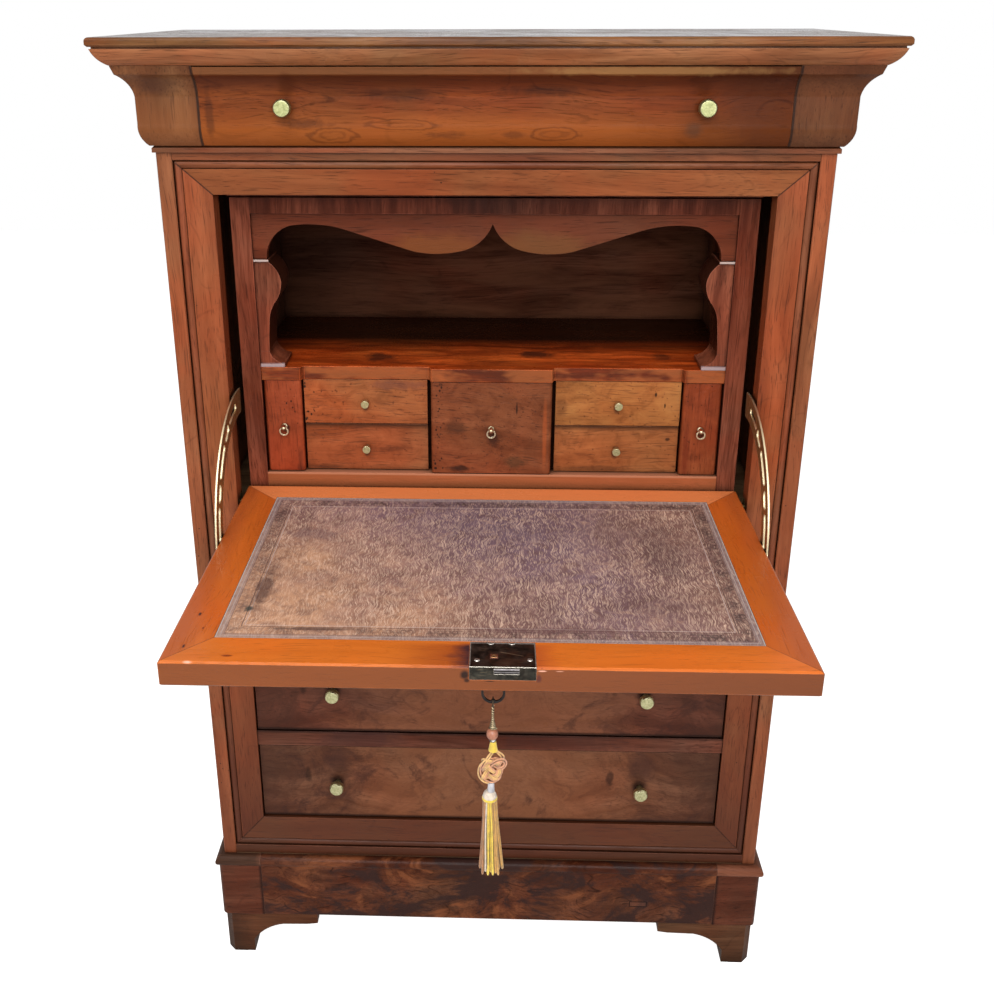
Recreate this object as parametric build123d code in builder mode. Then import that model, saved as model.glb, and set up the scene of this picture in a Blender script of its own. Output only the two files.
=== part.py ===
from build123d import *
import os
from math import cos, hypot, radians, sin, sqrt

os.makedirs("parts", exist_ok=True)

# Fall-front secretary in walnut. Millimetres, X to the right, Y into the case, Z up from the floor.
# "Depth" is measured into the case from the front faces of the posts.

# Overall
case_half_width = 412.0
case_depth = 353.0
joint_line = 0.2
slip = 0.3
arris = 0.8
overrun = 6.0

# Base
foot_height = 79.0
plinth_height = 97.3
plinth_projection = 9.2
base_moulding_height = 17.0
base_moulding_bulge = 3.2
plinth_board = 20.0
plinth_block_width = 67.4
plinth_corner_radius = 9.0
foot_setback = 2.5
foot_thickness = 22.0
foot_sole = 36.0
foot_spread = 148.5
foot_tip_height = 18.5
foot_chamfer = 11.0
foot_sole_ease = 4.0
foot_block = 44.0

# Cornice
slab_thickness = 10.5
slab_overhang = 53.3
slab_nose = 4.5
ovolo_height = 21.0
ovolo_top_projection = 50.0
ovolo_bottom_projection = 34.5
ogee_height = 94.0
ogee_projection = 34.0
neck_height = 8.5
neck_projection = 3.2
cornice_inset = 24.0
cornice_block_width = 62.5

# Front frame
post_width = 19.5
reed_width = 10.5
reed_crest_depth = 1.5
reed_spring_depth = 5.5
bevel_width = 33.0
bevel_outer_depth = 4.0
bevel_inner_depth = 13.0
frame_back_depth = 40.0
top_strip_height = 9.5
bottom_strip_height = 15.7
strip_depth = 1.0

# Fall and its stays
fall_reach = 392.0
fall_thickness = 30.0
fall_side_gap = 6.5
fall_top_gap = 3.0
fall_member_width = 48.0
fall_heel_member_width = 38.5
fall_edge_rounding = 2.0
pivot_depth = 34.0
fall_heel = 20.0
sweep_gap = 1.0
leather_thickness = 1.6
leather_recess = 0.6
panel_recess = 0.4
stay_thickness = 3.0
stay_radius = 163.0
stay_band = 33.0
stay_arm_width = 15.0
stay_slot_width = 13.0
stay_slot_inset = 9.5
stay_tail_angle = 5.5
stay_stud_angle = 3.7
stay_stud_radius = 3.0
stay_stud_length = 6.0
pivot_radius = 3.5
pivot_clearance = 0.06
pivot_pin_reach = 5.1
pivot_plate_width = 11.0
pivot_plate_height = 26.0
pivot_plate_thickness = 2.0

# Lock, key and tassel
lock_left = -19.0
lock_width = 69.0
lock_length = 47.0
lock_plate = 2.0
lock_selvedge_height = 15.5
lock_case_margin = 6.5
lock_case_depth = 12.0
lock_wall = 1.5
bolt_offset = 25.5
bolt_width = 26.0
bolt_thickness = 6.2
bolt_length = 15.0
bolt_throw = 7.0
bolt_clearance = 0.15
key_x = 6.0
key_setback = 21.0
key_barrel_radius = 2.8
key_pin_radius = 1.2
key_clearance = 0.08
key_bit_reach = 7.5
key_bit_thickness = 2.6
key_neck = 3.3
key_bow_width = 25.5
key_bow_height = 25.0
key_bow_thickness = 2.4
key_bow_rim = 2.4
key_bow_cusp = 3.0
keyhole_gap = 0.5
escutcheon_width = 16.0
escutcheon_height = 24.0
escutcheon_thickness = 0.8
keeper_thickness = 1.6
keeper_margin = 12.0
mortise_height = 10.0
clip_ring_radius = 5.5
clip_ring_wall = 1.4
clip_length = 36.0
clip_width = 4.6
bead_radius = 6.4
bead_sides = 12
knot_height = 67.0
knot_width = 32.0
knot_thickness = 13.0
collar_height = 14.7
collar_radius = 8.3
skirt_height = 103.0
skirt_flare = 4.0
skirt_folds = 16

# Long drawers
drawer_gap = 1.5
rail_height = 25.5
rail_depth = 60.0
rail_face_depth = 15.5
fall_rail_lip = 5.0
lower_drawer_height = 130.5
middle_drawer_height = 143.5
upper_drawer_height = 146.0
drawer_face_depth = 17.0
drawer_front_thickness = 22.0
drawer_side_thickness = 12.0
drawer_floor_thickness = 8.0
drawer_side_play = 6.0
drawer_box_drop = 15.0
drawer_back_gap = 13.0
cornice_front_back_depth = 20.0
cornice_drawer_drop = 12.0
plinth_front_thickness = 24.0
runner_thickness = 18.0
runner_bearing = 22.0
runner_guide_height = 30.0
runner_guide_play = 1.0
knob_radius = 10.5
knob_length = 21.0
knob_spacing = 460.0
cornice_knob_spacing = 496.0
cornice_knob_height = 46.0

# Carcass boards
back_thickness = 18.0
back_panel_thickness = 9.0
back_stile_width = 60.0
board_thickness = 18.0

# Inner case
inner_side_gap = 2.0
inner_board = 12.0
face_frame_thickness = 18.0
face_stile_width = 25.5
face_top_gap = 11.0
face_top_rail_height = 20.5
inner_floor_rise = 18.5
inner_drawers_height = 136.3
inner_back_gap = 13.0
inner_back_thickness = 8.0
stop_batten_height = 7.0
shelf_thickness = 18.2
shelf_edge_radius = 3.5
niche_floor_play = 0.2

# Breakfront: depth of the fronts behind the face frame, and where the steps fall
narrow_setback = 4.0
pair_setback = 10.0
lower_pair_setback = 11.5
centre_setback = 0.5
shelf_lead = 1.5
narrow_width = 54.5
centre_edge = 83.0
centre_gap = 5.0
side_gap = 2.4
inner_drawer_gap = 1.2
inner_front_thickness = 14.0
inner_front_rounding = 4.5
upper_pair_height = 64.0
partition_thickness = 5.0
inner_side_thickness = 6.0
inner_box_floor = 4.0
inner_box_play = 1.0
inner_box_drop = 7.0
inner_box_back_gap = 22.0
small_knob_radius = 5.3
small_knob_length = 14.0
ring_post_reach = 6.5
ring_post_radius = 3.2
ring_eye_half = 2.1
ring_radius = 5.5
ring_wire_radius = 0.9
ring_hole_play = 0.75

# Niche ornament
frieze_setback = 4.0
frieze_thickness = 12.0
frieze_height = 60.5
frieze_crown = 13.0
console_depth = 55.0
console_cap_thickness = 3.0
console_cap_projection = 3.0
console_cap_width = 20.0
console_width = 34.5
console_base_height = 22.0
console_base_width = 33.0
console_base_step = 5.0

# Levels from the floor up to the pivots of the fall: (bottom, top) of each drawer front and rail
plinth_top = foot_height + plinth_height
case_bottom = plinth_top + base_moulding_height
reed_bottom = case_bottom + bottom_strip_height
opening_bottom = reed_bottom + reed_width + bevel_width
lower_front = (opening_bottom + drawer_gap, opening_bottom + drawer_gap + lower_drawer_height)
lower_rail = (lower_front[1] + drawer_gap, lower_front[1] + drawer_gap + rail_height)
middle_front = (lower_rail[1] + drawer_gap, lower_rail[1] + drawer_gap + middle_drawer_height)
middle_rail = (middle_front[1] + drawer_gap, middle_front[1] + drawer_gap + rail_height)
upper_front = (middle_rail[1] + drawer_gap, middle_rail[1] + drawer_gap + upper_drawer_height)
fall_rail_bottom = upper_front[1] + drawer_gap
fall_rail_top = fall_rail_bottom + rail_height
heel_sweep = hypot(fall_heel, fall_thickness / 2)
pivot_z = fall_rail_top + sweep_gap + heel_sweep
writing_height = pivot_z + fall_thickness / 2

# Levels from the pivots up to the top of the slab
opening_top = pivot_z + pivot_depth + fall_reach + fall_top_gap
reed_top = opening_top + bevel_width + reed_width
case_top = reed_top + top_strip_height
ogee_bottom = case_top + neck_height
ovolo_bottom = ogee_bottom + ogee_height
slab_bottom = ovolo_bottom + ovolo_height
overall_height = slab_bottom + slab_thickness
print("overall height", overall_height)

# Faces in X and in Y
case_inner_half = case_half_width - post_width
bevel_outer_half = case_inner_half - reed_width
opening_half_width = bevel_outer_half - bevel_width
fall_half_width = opening_half_width - fall_side_gap
plinth_outer = case_half_width + plinth_projection
plinth_drawer_half_width = plinth_outer - plinth_block_width - slip
cornice_drawer_half_width = case_half_width - cornice_block_width
face_depth = pivot_depth + heel_sweep + sweep_gap
front_y = (fall_reach - case_depth) / 2
pivot_y = front_y + pivot_depth
fall_front_y = front_y - fall_reach
back_depth = case_depth - back_thickness
drawer_box_back_depth = back_depth - drawer_back_gap
inner_back_depth = back_depth - inner_back_gap
inner_box_back_depth = inner_back_depth - inner_box_back_gap


def keep(piece, node):
    """Name a finished piece and write it."""
    piece.part.label = node
    export_step(piece.part, f"parts/{node}.step")


def add_board(x, depth, z, mode=Mode.ADD):
    """A board between its low and high sides in X, in depth and in Z."""
    middle = (sum(x) / 2, front_y + sum(depth) / 2, sum(z) / 2)
    with Locations(middle):
        Box(x[1] - x[0], depth[1] - depth[0], z[1] - z[0], mode=mode)


def both_sides(x):
    """The same stretch of X on the left and on the right."""
    return ((-x[1], -x[0]), x)


def facing(depth):
    """A plane that faces the viewer, this deep behind the posts."""
    return Plane.XZ.offset(-(front_y + depth))


def level(z):
    """A horizontal plane whose Y is counted from the front faces of the posts."""
    return Plane((0, front_y, z))


def mitred_run(plane, corners, draw, widths=None, closed=False):
    """Lengths of moulding along the corners, mitred where two meet.

    The profile is drawn as (distance inwards from the outer edge, height above the plane)."""
    count = len(corners) if closed else len(corners) - 1
    widths = widths or [1] * count
    points = [plane.from_local_coords(Vector(*c, 0)) for c in corners]
    ends = [(points[i], points[(i + 1) % len(points)]) for i in range(count)]
    alongs = [(b - a).normalized() for a, b in ends]
    inwards = [plane.z_dir.cross(along) for along in alongs]
    lengths = []
    for i, (start, end) in enumerate(ends):
        along, inward = alongs[i], inwards[i]
        before, after = (i - 1) % count, (i + 1) % count
        cuts = []
        for point, sense, other, mitred in (
            (start, -1, before, closed or i > 0),
            (end, 1, after, closed or i < count - 1),
        ):
            diagonal = inward * widths[i] + inwards[other] * widths[other]
            outward = along * sense
            normal = diagonal.cross(plane.z_dir).normalized() if mitred else outward
            if normal.dot(outward) < 0:
                normal = normal * -1
            shift = joint_line / 2 if mitred else 0
            cuts.append(Plane(point - outward * shift, z_dir=normal))
        middle, reach = (start + end) / 2, (end - start).length / 2
        with BuildPart() as length:
            with BuildSketch(Plane(middle, x_dir=inward, z_dir=along)):
                with BuildLine():
                    draw(widths[i])
                make_face()
            extrude(amount=reach + slab_overhang + overrun, both=True)
            for cut in cuts:
                split(bisect_by=cut, keep=Keep.BOTTOM)
        lengths.append(length.part)
    return lengths


def three_sides(half_width, depth, projection=0):
    """Corners of the front and both sides of the case, seen from above."""
    outer = half_width + projection
    return [(-outer, depth), (-outer, -projection), (outer, -projection), (outer, depth)]


def rectangle(half_width, low, high):
    """Corners of a rectangle, anticlockwise."""
    return [(-half_width, low), (half_width, low), (half_width, high), (-half_width, high)]


# Cornice: slab with a rounded nose on three sides
with BuildPart() as top_slab:
    slab_half_width = case_half_width + slab_overhang
    with BuildSketch(level(slab_bottom)):
        with Locations((0, (case_depth - slab_overhang) / 2)):
            Rectangle(2 * slab_half_width, case_depth + slab_overhang)
    extrude(amount=slab_thickness)
    nose = top_slab.edges().group_by(Axis.Z)[-1].sort_by(Axis.Y)[:-1]
    fillet(nose, slab_nose)
    heel = top_slab.edges().group_by(Axis.Z)[0].sort_by(Axis.Y)[:-1]
    chamfer(heel, slab_nose / 2)
keep(top_slab, "top_slab")


def draw_ovolo(width):
    """Quarter-round under the slab, bulging outwards."""
    top = ovolo_height - joint_line
    quirk = slab_thickness / 5
    bulge = (ovolo_top_projection - ovolo_bottom_projection) / 5
    middle = (ovolo_top_projection + ovolo_bottom_projection) / 2 + bulge
    Polyline(
        (-ovolo_bottom_projection, 0),
        (cornice_inset, 0),
        (cornice_inset, top),
        (quirk - ovolo_top_projection, top),
        (quirk - ovolo_top_projection, top - quirk),
        (-ovolo_top_projection, top - quirk),
    )
    ThreePointArc(
        (-ovolo_top_projection, top - quirk),
        (-middle, (top - quirk) / 2),
        (-ovolo_bottom_projection, 0),
    )


with BuildPart() as cornice_moulding:
    for length in mitred_run(level(ovolo_bottom), three_sides(case_half_width, case_depth), draw_ovolo):
        add(length)
keep(cornice_moulding, "cornice_moulding")

# Shares of the ogee's projection and height, from the bottom up to the fillet
ogee_foot_shares = (0.14, 0.0)
ogee_round_shares = (0.32, 0.09)
ogee_belly_shares = (0.41, 0.28)
ogee_waist_shares = (0.41, 0.62)
ogee_throat_shares = (0.60, 0.795)
ogee_fillet_shares = (0.90, 0.895)


def draw_ogee(inner):
    """Doucine: round foot, long flat belly, hollow throat and a square fillet."""
    def at(shares):
        return (-shares[0] * ogee_projection, shares[1] * (ogee_height - joint_line))

    top = ogee_height - joint_line
    ThreePointArc(at(ogee_foot_shares), at(ogee_round_shares), at(ogee_belly_shares))
    Line(at(ogee_belly_shares), at(ogee_waist_shares))
    ThreePointArc(at(ogee_waist_shares), at(ogee_throat_shares), at(ogee_fillet_shares))
    Polyline(
        at(ogee_fillet_shares),
        (-ogee_projection, top),
        (inner, top),
        (inner, 0),
        at(ogee_foot_shares),
    )


# Ogee returns along the sides and the short blocks beside the cornice drawer
with BuildPart() as cornice_ogee:
    run = mitred_run(
        level(ogee_bottom),
        three_sides(case_half_width, case_depth),
        lambda width: draw_ogee(cornice_inset),
    )
    add(run[0])
    add(run[1])
    add(run[2])
    add_board(
        (-cornice_drawer_half_width - slip, cornice_drawer_half_width + slip),
        (-slab_overhang, case_depth - overrun),
        (ogee_bottom - overrun, ovolo_bottom + overrun),
        mode=Mode.SUBTRACT,
    )
keep(cornice_ogee, "cornice_ogee")

# Board under the cornice drawer; its rounded edge is the necking of the cornice
with BuildPart() as cornice_floor:
    with BuildSketch(level(case_top + joint_line)):
        with Locations((0, (case_depth - neck_projection) / 2)):
            Rectangle(2 * (case_half_width + neck_projection), case_depth + neck_projection)
    extrude(amount=neck_height - 2 * joint_line)
    neck_edges = cornice_floor.edges().group_by(Axis.Z)[-1].sort_by(Axis.Y)[:-1]
    chamfer(neck_edges, neck_height / 3)
keep(cornice_floor, "cornice_floor")

# Side panels: their front edges are the posts
with BuildPart() as side_panels:
    for side in both_sides((case_inner_half + joint_line, case_half_width)):
        add_board(side, (0, case_depth), (plinth_top + joint_line, case_top))
    arrises = side_panels.edges().filter_by(Axis.Z).group_by(Axis.Y)[0]
    chamfer(arrises, reed_crest_depth)
keep(side_panels, "side_panels")


def draw_reed(width):
    """Strip with a half-round nose."""
    Polyline(
        (joint_line, -reed_spring_depth),
        (joint_line, -frame_back_depth),
        (reed_width - joint_line, -frame_back_depth),
        (reed_width - joint_line, -reed_spring_depth),
    )
    ThreePointArc(
        (reed_width - joint_line, -reed_spring_depth),
        (reed_width / 2, -reed_crest_depth),
        (joint_line, -reed_spring_depth),
    )


# Reeds round the whole front, with a plain strip above and below them
with BuildPart() as frame_reeds:
    for length in mitred_run(
        facing(0), rectangle(case_inner_half, reed_bottom, reed_top), draw_reed, closed=True
    ):
        add(length)
    strip = (-case_inner_half, case_inner_half)
    add_board(strip, (strip_depth, frame_back_depth), (reed_top + joint_line, case_top))
    add_board(strip, (strip_depth, frame_back_depth), (case_bottom, reed_bottom - joint_line))
keep(frame_reeds, "frame_reeds")


def draw_bevel(width):
    """Broad bevelled member that slopes in towards the opening."""
    Polyline(
        (joint_line, -bevel_outer_depth),
        (joint_line, -frame_back_depth),
        (width, -frame_back_depth),
        (width, -bevel_inner_depth),
        close=True,
    )


with BuildPart() as frame_bevels:
    outer = rectangle(bevel_outer_half, reed_bottom + reed_width, reed_top - reed_width)
    for length in mitred_run(facing(0), outer, draw_bevel, [bevel_width] * 4, closed=True):
        add(length)
    for side in both_sides((opening_half_width, opening_half_width + pivot_plate_thickness)):
        with BuildSketch(Plane.YZ.offset(side[0])):
            with Locations((pivot_y, pivot_z)):
                Rectangle(pivot_plate_width + 2 * joint_line, pivot_plate_height + 2 * joint_line)
        extrude(amount=pivot_plate_thickness, mode=Mode.SUBTRACT)
keep(frame_bevels, "frame_bevels")

# Back: a frame with two panels and a muntin, and the boards that close cornice and plinth
with BuildPart() as back_panel:
    back = (back_depth, case_depth)
    stile_x = (case_inner_half - back_stile_width, case_inner_half)
    for side in both_sides(stile_x):
        add_board(side, back, (plinth_top + joint_line, case_top))
    field = stile_x[0] - joint_line
    rails = (plinth_top + joint_line, (plinth_top + case_top) / 2, case_top)
    add_board((-field, field), back, (rails[0], rails[0] + back_stile_width))
    add_board(
        (-field, field), back, (rails[1] - back_stile_width / 2, rails[1] + back_stile_width / 2)
    )
    add_board((-field, field), back, (rails[2] - back_stile_width, rails[2]))
    panel_depths = (back_depth, back_depth + back_panel_thickness)
    fields = (
        (rails[0] + back_stile_width, rails[1] - back_stile_width / 2),
        (rails[1] + back_stile_width / 2, rails[2] - back_stile_width),
    )
    for low, high in fields:
        muntin_half = back_stile_width / 2
        inside = (low + joint_line, high - joint_line)
        add_board((-muntin_half, muntin_half), back, inside)
        for side in both_sides((muntin_half + joint_line, field - joint_line)):
            add_board(side, panel_depths, inside)
    cornice_half = case_half_width - cornice_inset - joint_line
    add_board((-cornice_half, cornice_half), back, (ogee_bottom, slab_bottom - joint_line))
    plinth_half = case_half_width + plinth_projection - plinth_board - joint_line
    add_board((-plinth_half, plinth_half), back, (foot_height, plinth_top))
keep(back_panel, "back_panel")

# Dust boards: bottom of the case, and the floor that the inner case stands on
with BuildPart() as dust_boards:
    inside = (-case_inner_half, case_inner_half)
    add_board(
        inside,
        (joint_line, back_depth - joint_line),
        (plinth_top + joint_line, case_bottom - joint_line),
    )
    add_board(
        inside,
        (rail_depth + joint_line, back_depth - joint_line),
        (fall_rail_top - board_thickness, fall_rail_top - joint_line),
    )
keep(dust_boards, "dust_boards")

# Rails between the drawers, the lipped rail under the fall and the lock rail over it
with BuildPart() as case_rails:
    rail_x = (-opening_half_width + joint_line, opening_half_width - joint_line)
    for rail in (lower_rail, middle_rail):
        add_board(rail_x, (rail_face_depth, rail_depth), rail)
    lip_back = pivot_depth - fall_thickness / 2 - 2 * joint_line
    with BuildSketch(Plane((rail_x[0], front_y, 0), x_dir=(0, 1, 0), z_dir=(1, 0, 0))):
        with BuildLine():
            Polyline(
                (rail_face_depth, fall_rail_bottom),
                (rail_depth, fall_rail_bottom),
                (rail_depth, fall_rail_top),
                (lip_back, fall_rail_top),
                (lip_back, fall_rail_top + fall_rail_lip),
                (rail_face_depth, fall_rail_top + fall_rail_lip),
                close=True,
            )
        make_face()
    extrude(amount=rail_x[1] - rail_x[0])
    lock_rail = (opening_top, reed_top - reed_width)
    add_board(
        (-case_inner_half, case_inner_half),
        (frame_back_depth + joint_line, face_depth - joint_line),
        lock_rail,
    )
    bolt_left = lock_left + bolt_offset - bolt_clearance
    bolt_x = (bolt_left, bolt_left + bolt_width + 2 * bolt_clearance)
    bolt_z = (
        writing_height - lock_plate - bolt_clearance - bolt_thickness,
        writing_height - lock_plate - bolt_clearance,
    )
    bolt_depths = tuple(pivot_depth + z - pivot_z for z in bolt_z)
    mortise_depths = (bolt_depths[0] - 2 * slip, bolt_depths[1] + 2 * slip)
    mortise_x = (bolt_x[0] - 2 * slip, bolt_x[1] + 2 * slip)
    keeper_x = (bolt_x[0] - keeper_margin, bolt_x[1] + keeper_margin)
    keeper_depths = (frame_back_depth + joint_line, face_depth - stop_batten_height)
    add_board(
        mortise_x,
        mortise_depths,
        (opening_top - overrun, opening_top + mortise_height),
        mode=Mode.SUBTRACT,
    )
    add_board(
        (keeper_x[0] - joint_line, keeper_x[1] + joint_line),
        (keeper_depths[0] - overrun, keeper_depths[1] + joint_line),
        (opening_top - overrun, opening_top + keeper_thickness + joint_line),
        mode=Mode.SUBTRACT,
    )
keep(case_rails, "case_rails")

with BuildPart() as lock_keeper:
    add_board(keeper_x, keeper_depths, (opening_top, opening_top + keeper_thickness))
    add_board(
        mortise_x,
        mortise_depths,
        (opening_top - overrun, opening_top + overrun),
        mode=Mode.SUBTRACT,
    )
keep(lock_keeper, "lock_keeper")

box_half_width = opening_half_width - drawer_side_play


def add_runners(bearing_z, outer, start, thickness):
    """A pair of runners with the guides that keep a drawer straight."""
    bearing = box_half_width - runner_bearing
    guide = box_half_width + runner_guide_play
    for sense in (-1, 1):
        with BuildSketch(facing(start)) as section:
            with BuildLine():
                Polyline(
                    (sense * bearing, bearing_z - thickness),
                    (sense * outer, bearing_z - thickness),
                    (sense * outer, bearing_z + runner_guide_height),
                    (sense * guide, bearing_z + runner_guide_height),
                    (sense * guide, bearing_z),
                    (sense * bearing, bearing_z),
                    close=True,
                )
            make_face()
        extrude(section.sketch, amount=-(back_depth - joint_line - start))


with BuildPart() as drawer_runners:
    behind_frame = frame_back_depth + joint_line
    for bearing_z in (lower_rail[1], middle_rail[1]):
        add_runners(bearing_z, case_inner_half, rail_depth + joint_line, runner_thickness)
    add_runners(opening_bottom, case_inner_half, behind_frame, runner_thickness)
    guide_x = (box_half_width + runner_guide_play, case_half_width - cornice_inset - joint_line)
    for side in both_sides(guide_x):
        add_board(
            side,
            (cornice_inset + joint_line, back_depth - joint_line),
            (ogee_bottom, ogee_bottom + runner_guide_height),
        )
    plinth_inner_half = case_half_width + plinth_projection - plinth_board
    add_runners(
        foot_height + drawer_gap + runner_thickness / 2,
        plinth_inner_half - joint_line,
        plinth_front_thickness,
        runner_thickness / 2,
    )
keep(drawer_runners, "drawer_runners")

# Plinth: corner blocks beside the hidden drawer, and side boards behind them
with BuildPart() as plinth_frame:
    plinth_z = (foot_height + joint_line, plinth_top - joint_line)
    for side in both_sides((plinth_drawer_half_width + slip, plinth_outer)):
        add_board(side, (-plinth_projection, plinth_front_thickness - plinth_projection), plinth_z)
    for side in both_sides((plinth_outer - plinth_board, plinth_outer)):
        start = plinth_front_thickness - plinth_projection + joint_line
        add_board(side, (start, case_depth), plinth_z)
    corners = plinth_frame.edges().filter_by(Axis.Z).group_by(Axis.Y)[0]
    fillet(corners.sort_by(Axis.X)[0], plinth_corner_radius)
    corners = plinth_frame.edges().filter_by(Axis.Z).group_by(Axis.Y)[0]
    fillet(corners.sort_by(Axis.X)[-1], plinth_corner_radius)
keep(plinth_frame, "plinth_frame")


def draw_half_round(inner):
    """Half-round that stands a little proud of the plinth."""
    out = plinth_projection + base_moulding_bulge
    height = base_moulding_height - joint_line
    Polyline((-plinth_projection, 0), (inner, 0), (inner, height), (-plinth_projection / 2, height))
    ThreePointArc(
        (-plinth_projection / 2, height),
        (-out, height * 2 / 5),
        (-plinth_projection, 0),
    )


with BuildPart() as base_moulding:
    for length in mitred_run(
        level(plinth_top),
        three_sides(case_half_width, case_depth),
        lambda width: draw_half_round(-joint_line),
    ):
        add(length)
    add_board(
        (-plinth_drawer_half_width - slip, plinth_drawer_half_width + slip),
        (-slab_overhang, slab_overhang),
        (plinth_top - overrun, case_bottom + overrun),
        mode=Mode.SUBTRACT,
    )
keep(base_moulding, "base_moulding")

# Shares of the arch's run and rise in a foot's bracket
foot_arch_shares = (0.24, 0.72)
foot_shoulder_shares = (0.50, 0.94)
foot_toe_shares = (0.86, 0.96)

# Bracket feet: a shaped bracket on each face, a chamfered corner and a glue block behind
foot_half = plinth_outer - foot_setback


def draw_bracket():
    """Outline of a bracket, from its outer corner: sole, quarter arch and thin tip."""
    tip = foot_height - foot_tip_height

    def at(run_share, rise_share):
        run = foot_sole + run_share * (foot_spread - foot_sole)
        return (run, foot_sole_ease + rise_share * (tip - foot_sole_ease))

    sole_end = (foot_sole - foot_sole_ease, 0)
    Line(sole_end, at(0, 0))
    ThreePointArc(at(0, 0), at(*foot_arch_shares), at(*foot_shoulder_shares))
    Polyline(
        at(*foot_shoulder_shares),
        at(*foot_toe_shares),
        at(1, 1),
        (foot_spread, foot_height - joint_line),
        (0, foot_height - joint_line),
        (0, 0),
        sole_end,
    )


def bracket(corner, run, inward):
    """One face of a foot: it runs from its corner, its thickness goes inwards."""
    with BuildPart() as piece:
        with BuildSketch(Plane(corner, x_dir=run, z_dir=Vector(*run).cross(Vector(0, 0, 1)))):
            with BuildLine():
                draw_bracket()
            make_face()
        extrude(amount=foot_thickness, dir=inward)
    return piece.part


def add_block(face, inwards):
    """The glue block in the corner of a left foot."""
    low = -foot_half + joint_line
    middle = front_y + face + inwards * (foot_block / 2 + joint_line)
    with Locations((low + foot_block / 2, middle, foot_height / 2)):
        Box(foot_block, foot_block, foot_height - 2 * joint_line)


with BuildPart() as bracket_feet:
    foot_front = foot_setback - plinth_projection
    front_corner = (-foot_half, front_y + foot_front, 0)
    back_corner = (-foot_half, front_y + case_depth, 0)
    add(bracket(front_corner, (1, 0, 0), (0, 1, 0)))
    add(bracket(front_corner, (0, 1, 0), (1, 0, 0)))
    add(bracket(back_corner, (0, -1, 0), (1, 0, 0)))
    add_block(foot_front, 1)
    add_block(case_depth, -1)
    corner = bracket_feet.edges().filter_by(Axis.Z).group_by(Axis.Y)[0].sort_by(Axis.X)[0]
    chamfer(corner, foot_chamfer)
    mirror(about=Plane.YZ)
keep(bracket_feet, "bracket_feet")


def add_box(half_width, z, height, start, end, wall, floor):
    """Two sides, back and bottom of a drawer, housed into each other, centred on X."""
    add_tray((-half_width, half_width), z, height, start, end, wall, floor)


def add_tray(x, z, height, start, end, wall, floor):
    """Two sides, back and bottom of a drawer between two X."""
    add_board((x[0], x[0] + wall), (start, end), (z, z + height))
    add_board((x[1] - wall, x[1]), (start, end), (z, z + height))
    inside = (x[0] + wall + joint_line, x[1] - wall - joint_line)
    add_board(inside, (end - wall, end), (z, z + height))
    add_board(inside, (start, end - wall - joint_line), (z + floor / 2, z + floor * 3 / 2))


# Shares of a turned knob's radius and length, from its seat to its crown
knob_outline_shares = ((0.40, 0.0), (0.40, 0.60), (1.0, 0.60), (1.0, 0.88), (0.86, 1.0))
small_knob_outline_shares = ((0.45, 0.0), (0.45, 0.56), (1.0, 0.56), (1.0, 1.0))


def add_knob(x, depth, z, radius, length, shares=knob_outline_shares):
    """A turned brass knob seated on a face that looks at the viewer."""
    seat = (x, front_y + depth, z)
    with BuildSketch(Plane(seat, x_dir=(1, 0, 0), z_dir=(0, 0, -1))) as outline:
        with BuildLine():
            points = [(radius * r, length * out) for r, out in shares]
            Polyline((0, 0), *points, (0, length), close=True)
        make_face()
    revolve(outline.sketch, axis=Axis(seat, (0, -1, 0)))


# Long drawers under the fall
long_drawers = (
    ("lower_drawer", lower_front),
    ("middle_drawer", middle_front),
    ("upper_drawer", upper_front),
)
box_start = drawer_face_depth + drawer_front_thickness + joint_line
for name, (low, high) in long_drawers:
    front_half = opening_half_width - drawer_gap
    with BuildPart() as drawer_front:
        faces = (drawer_face_depth, drawer_face_depth + drawer_front_thickness)
        add_board((-front_half, front_half), faces, (low, high))
        chamfer(drawer_front.edges().group_by(Axis.Y)[0], arris)
    keep(drawer_front, f"{name}_front")
    with BuildPart() as drawer_box:
        bearing = low - drawer_gap + slip
        add_box(
            box_half_width,
            bearing,
            high - low - drawer_box_drop,
            box_start,
            drawer_box_back_depth,
            drawer_side_thickness,
            drawer_floor_thickness,
        )
    keep(drawer_box, f"{name}_box")
    with BuildPart() as drawer_knobs:
        for x in (-knob_spacing / 2, knob_spacing / 2):
            add_knob(x, drawer_face_depth, (low + high) / 2, knob_radius, knob_length)
    keep(drawer_knobs, f"{name}_knobs")

# Cornice drawer: its front carries the ogee on
with BuildPart() as cornice_drawer_front:
    ogee_z = ogee_bottom + slip
    with BuildSketch(Plane((0, front_y, ogee_z), x_dir=(0, 1, 0), z_dir=(1, 0, 0))):
        with BuildLine():
            draw_ogee(cornice_front_back_depth)
        make_face()
    extrude(amount=cornice_drawer_half_width, both=True)
    add_board(
        (-slab_half_width, slab_half_width),
        (-slab_overhang, case_depth),
        (ovolo_bottom - drawer_gap, ovolo_bottom + overrun),
        mode=Mode.SUBTRACT,
    )
keep(cornice_drawer_front, "cornice_drawer_front")

with BuildPart() as cornice_drawer_box:
    add_box(
        box_half_width,
        ogee_bottom + slip,
        ogee_height - cornice_drawer_drop,
        cornice_front_back_depth + joint_line,
        drawer_box_back_depth,
        drawer_side_thickness,
        drawer_floor_thickness,
    )
keep(cornice_drawer_box, "cornice_drawer_box")

with BuildPart() as cornice_drawer_knobs:
    for x in (-cornice_knob_spacing / 2, cornice_knob_spacing / 2):
        add_knob(
            x,
            -ogee_belly_shares[0] * ogee_projection,
            ogee_bottom + cornice_knob_height,
            knob_radius,
            knob_length,
        )
keep(cornice_drawer_knobs, "cornice_drawer_knobs")

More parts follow.
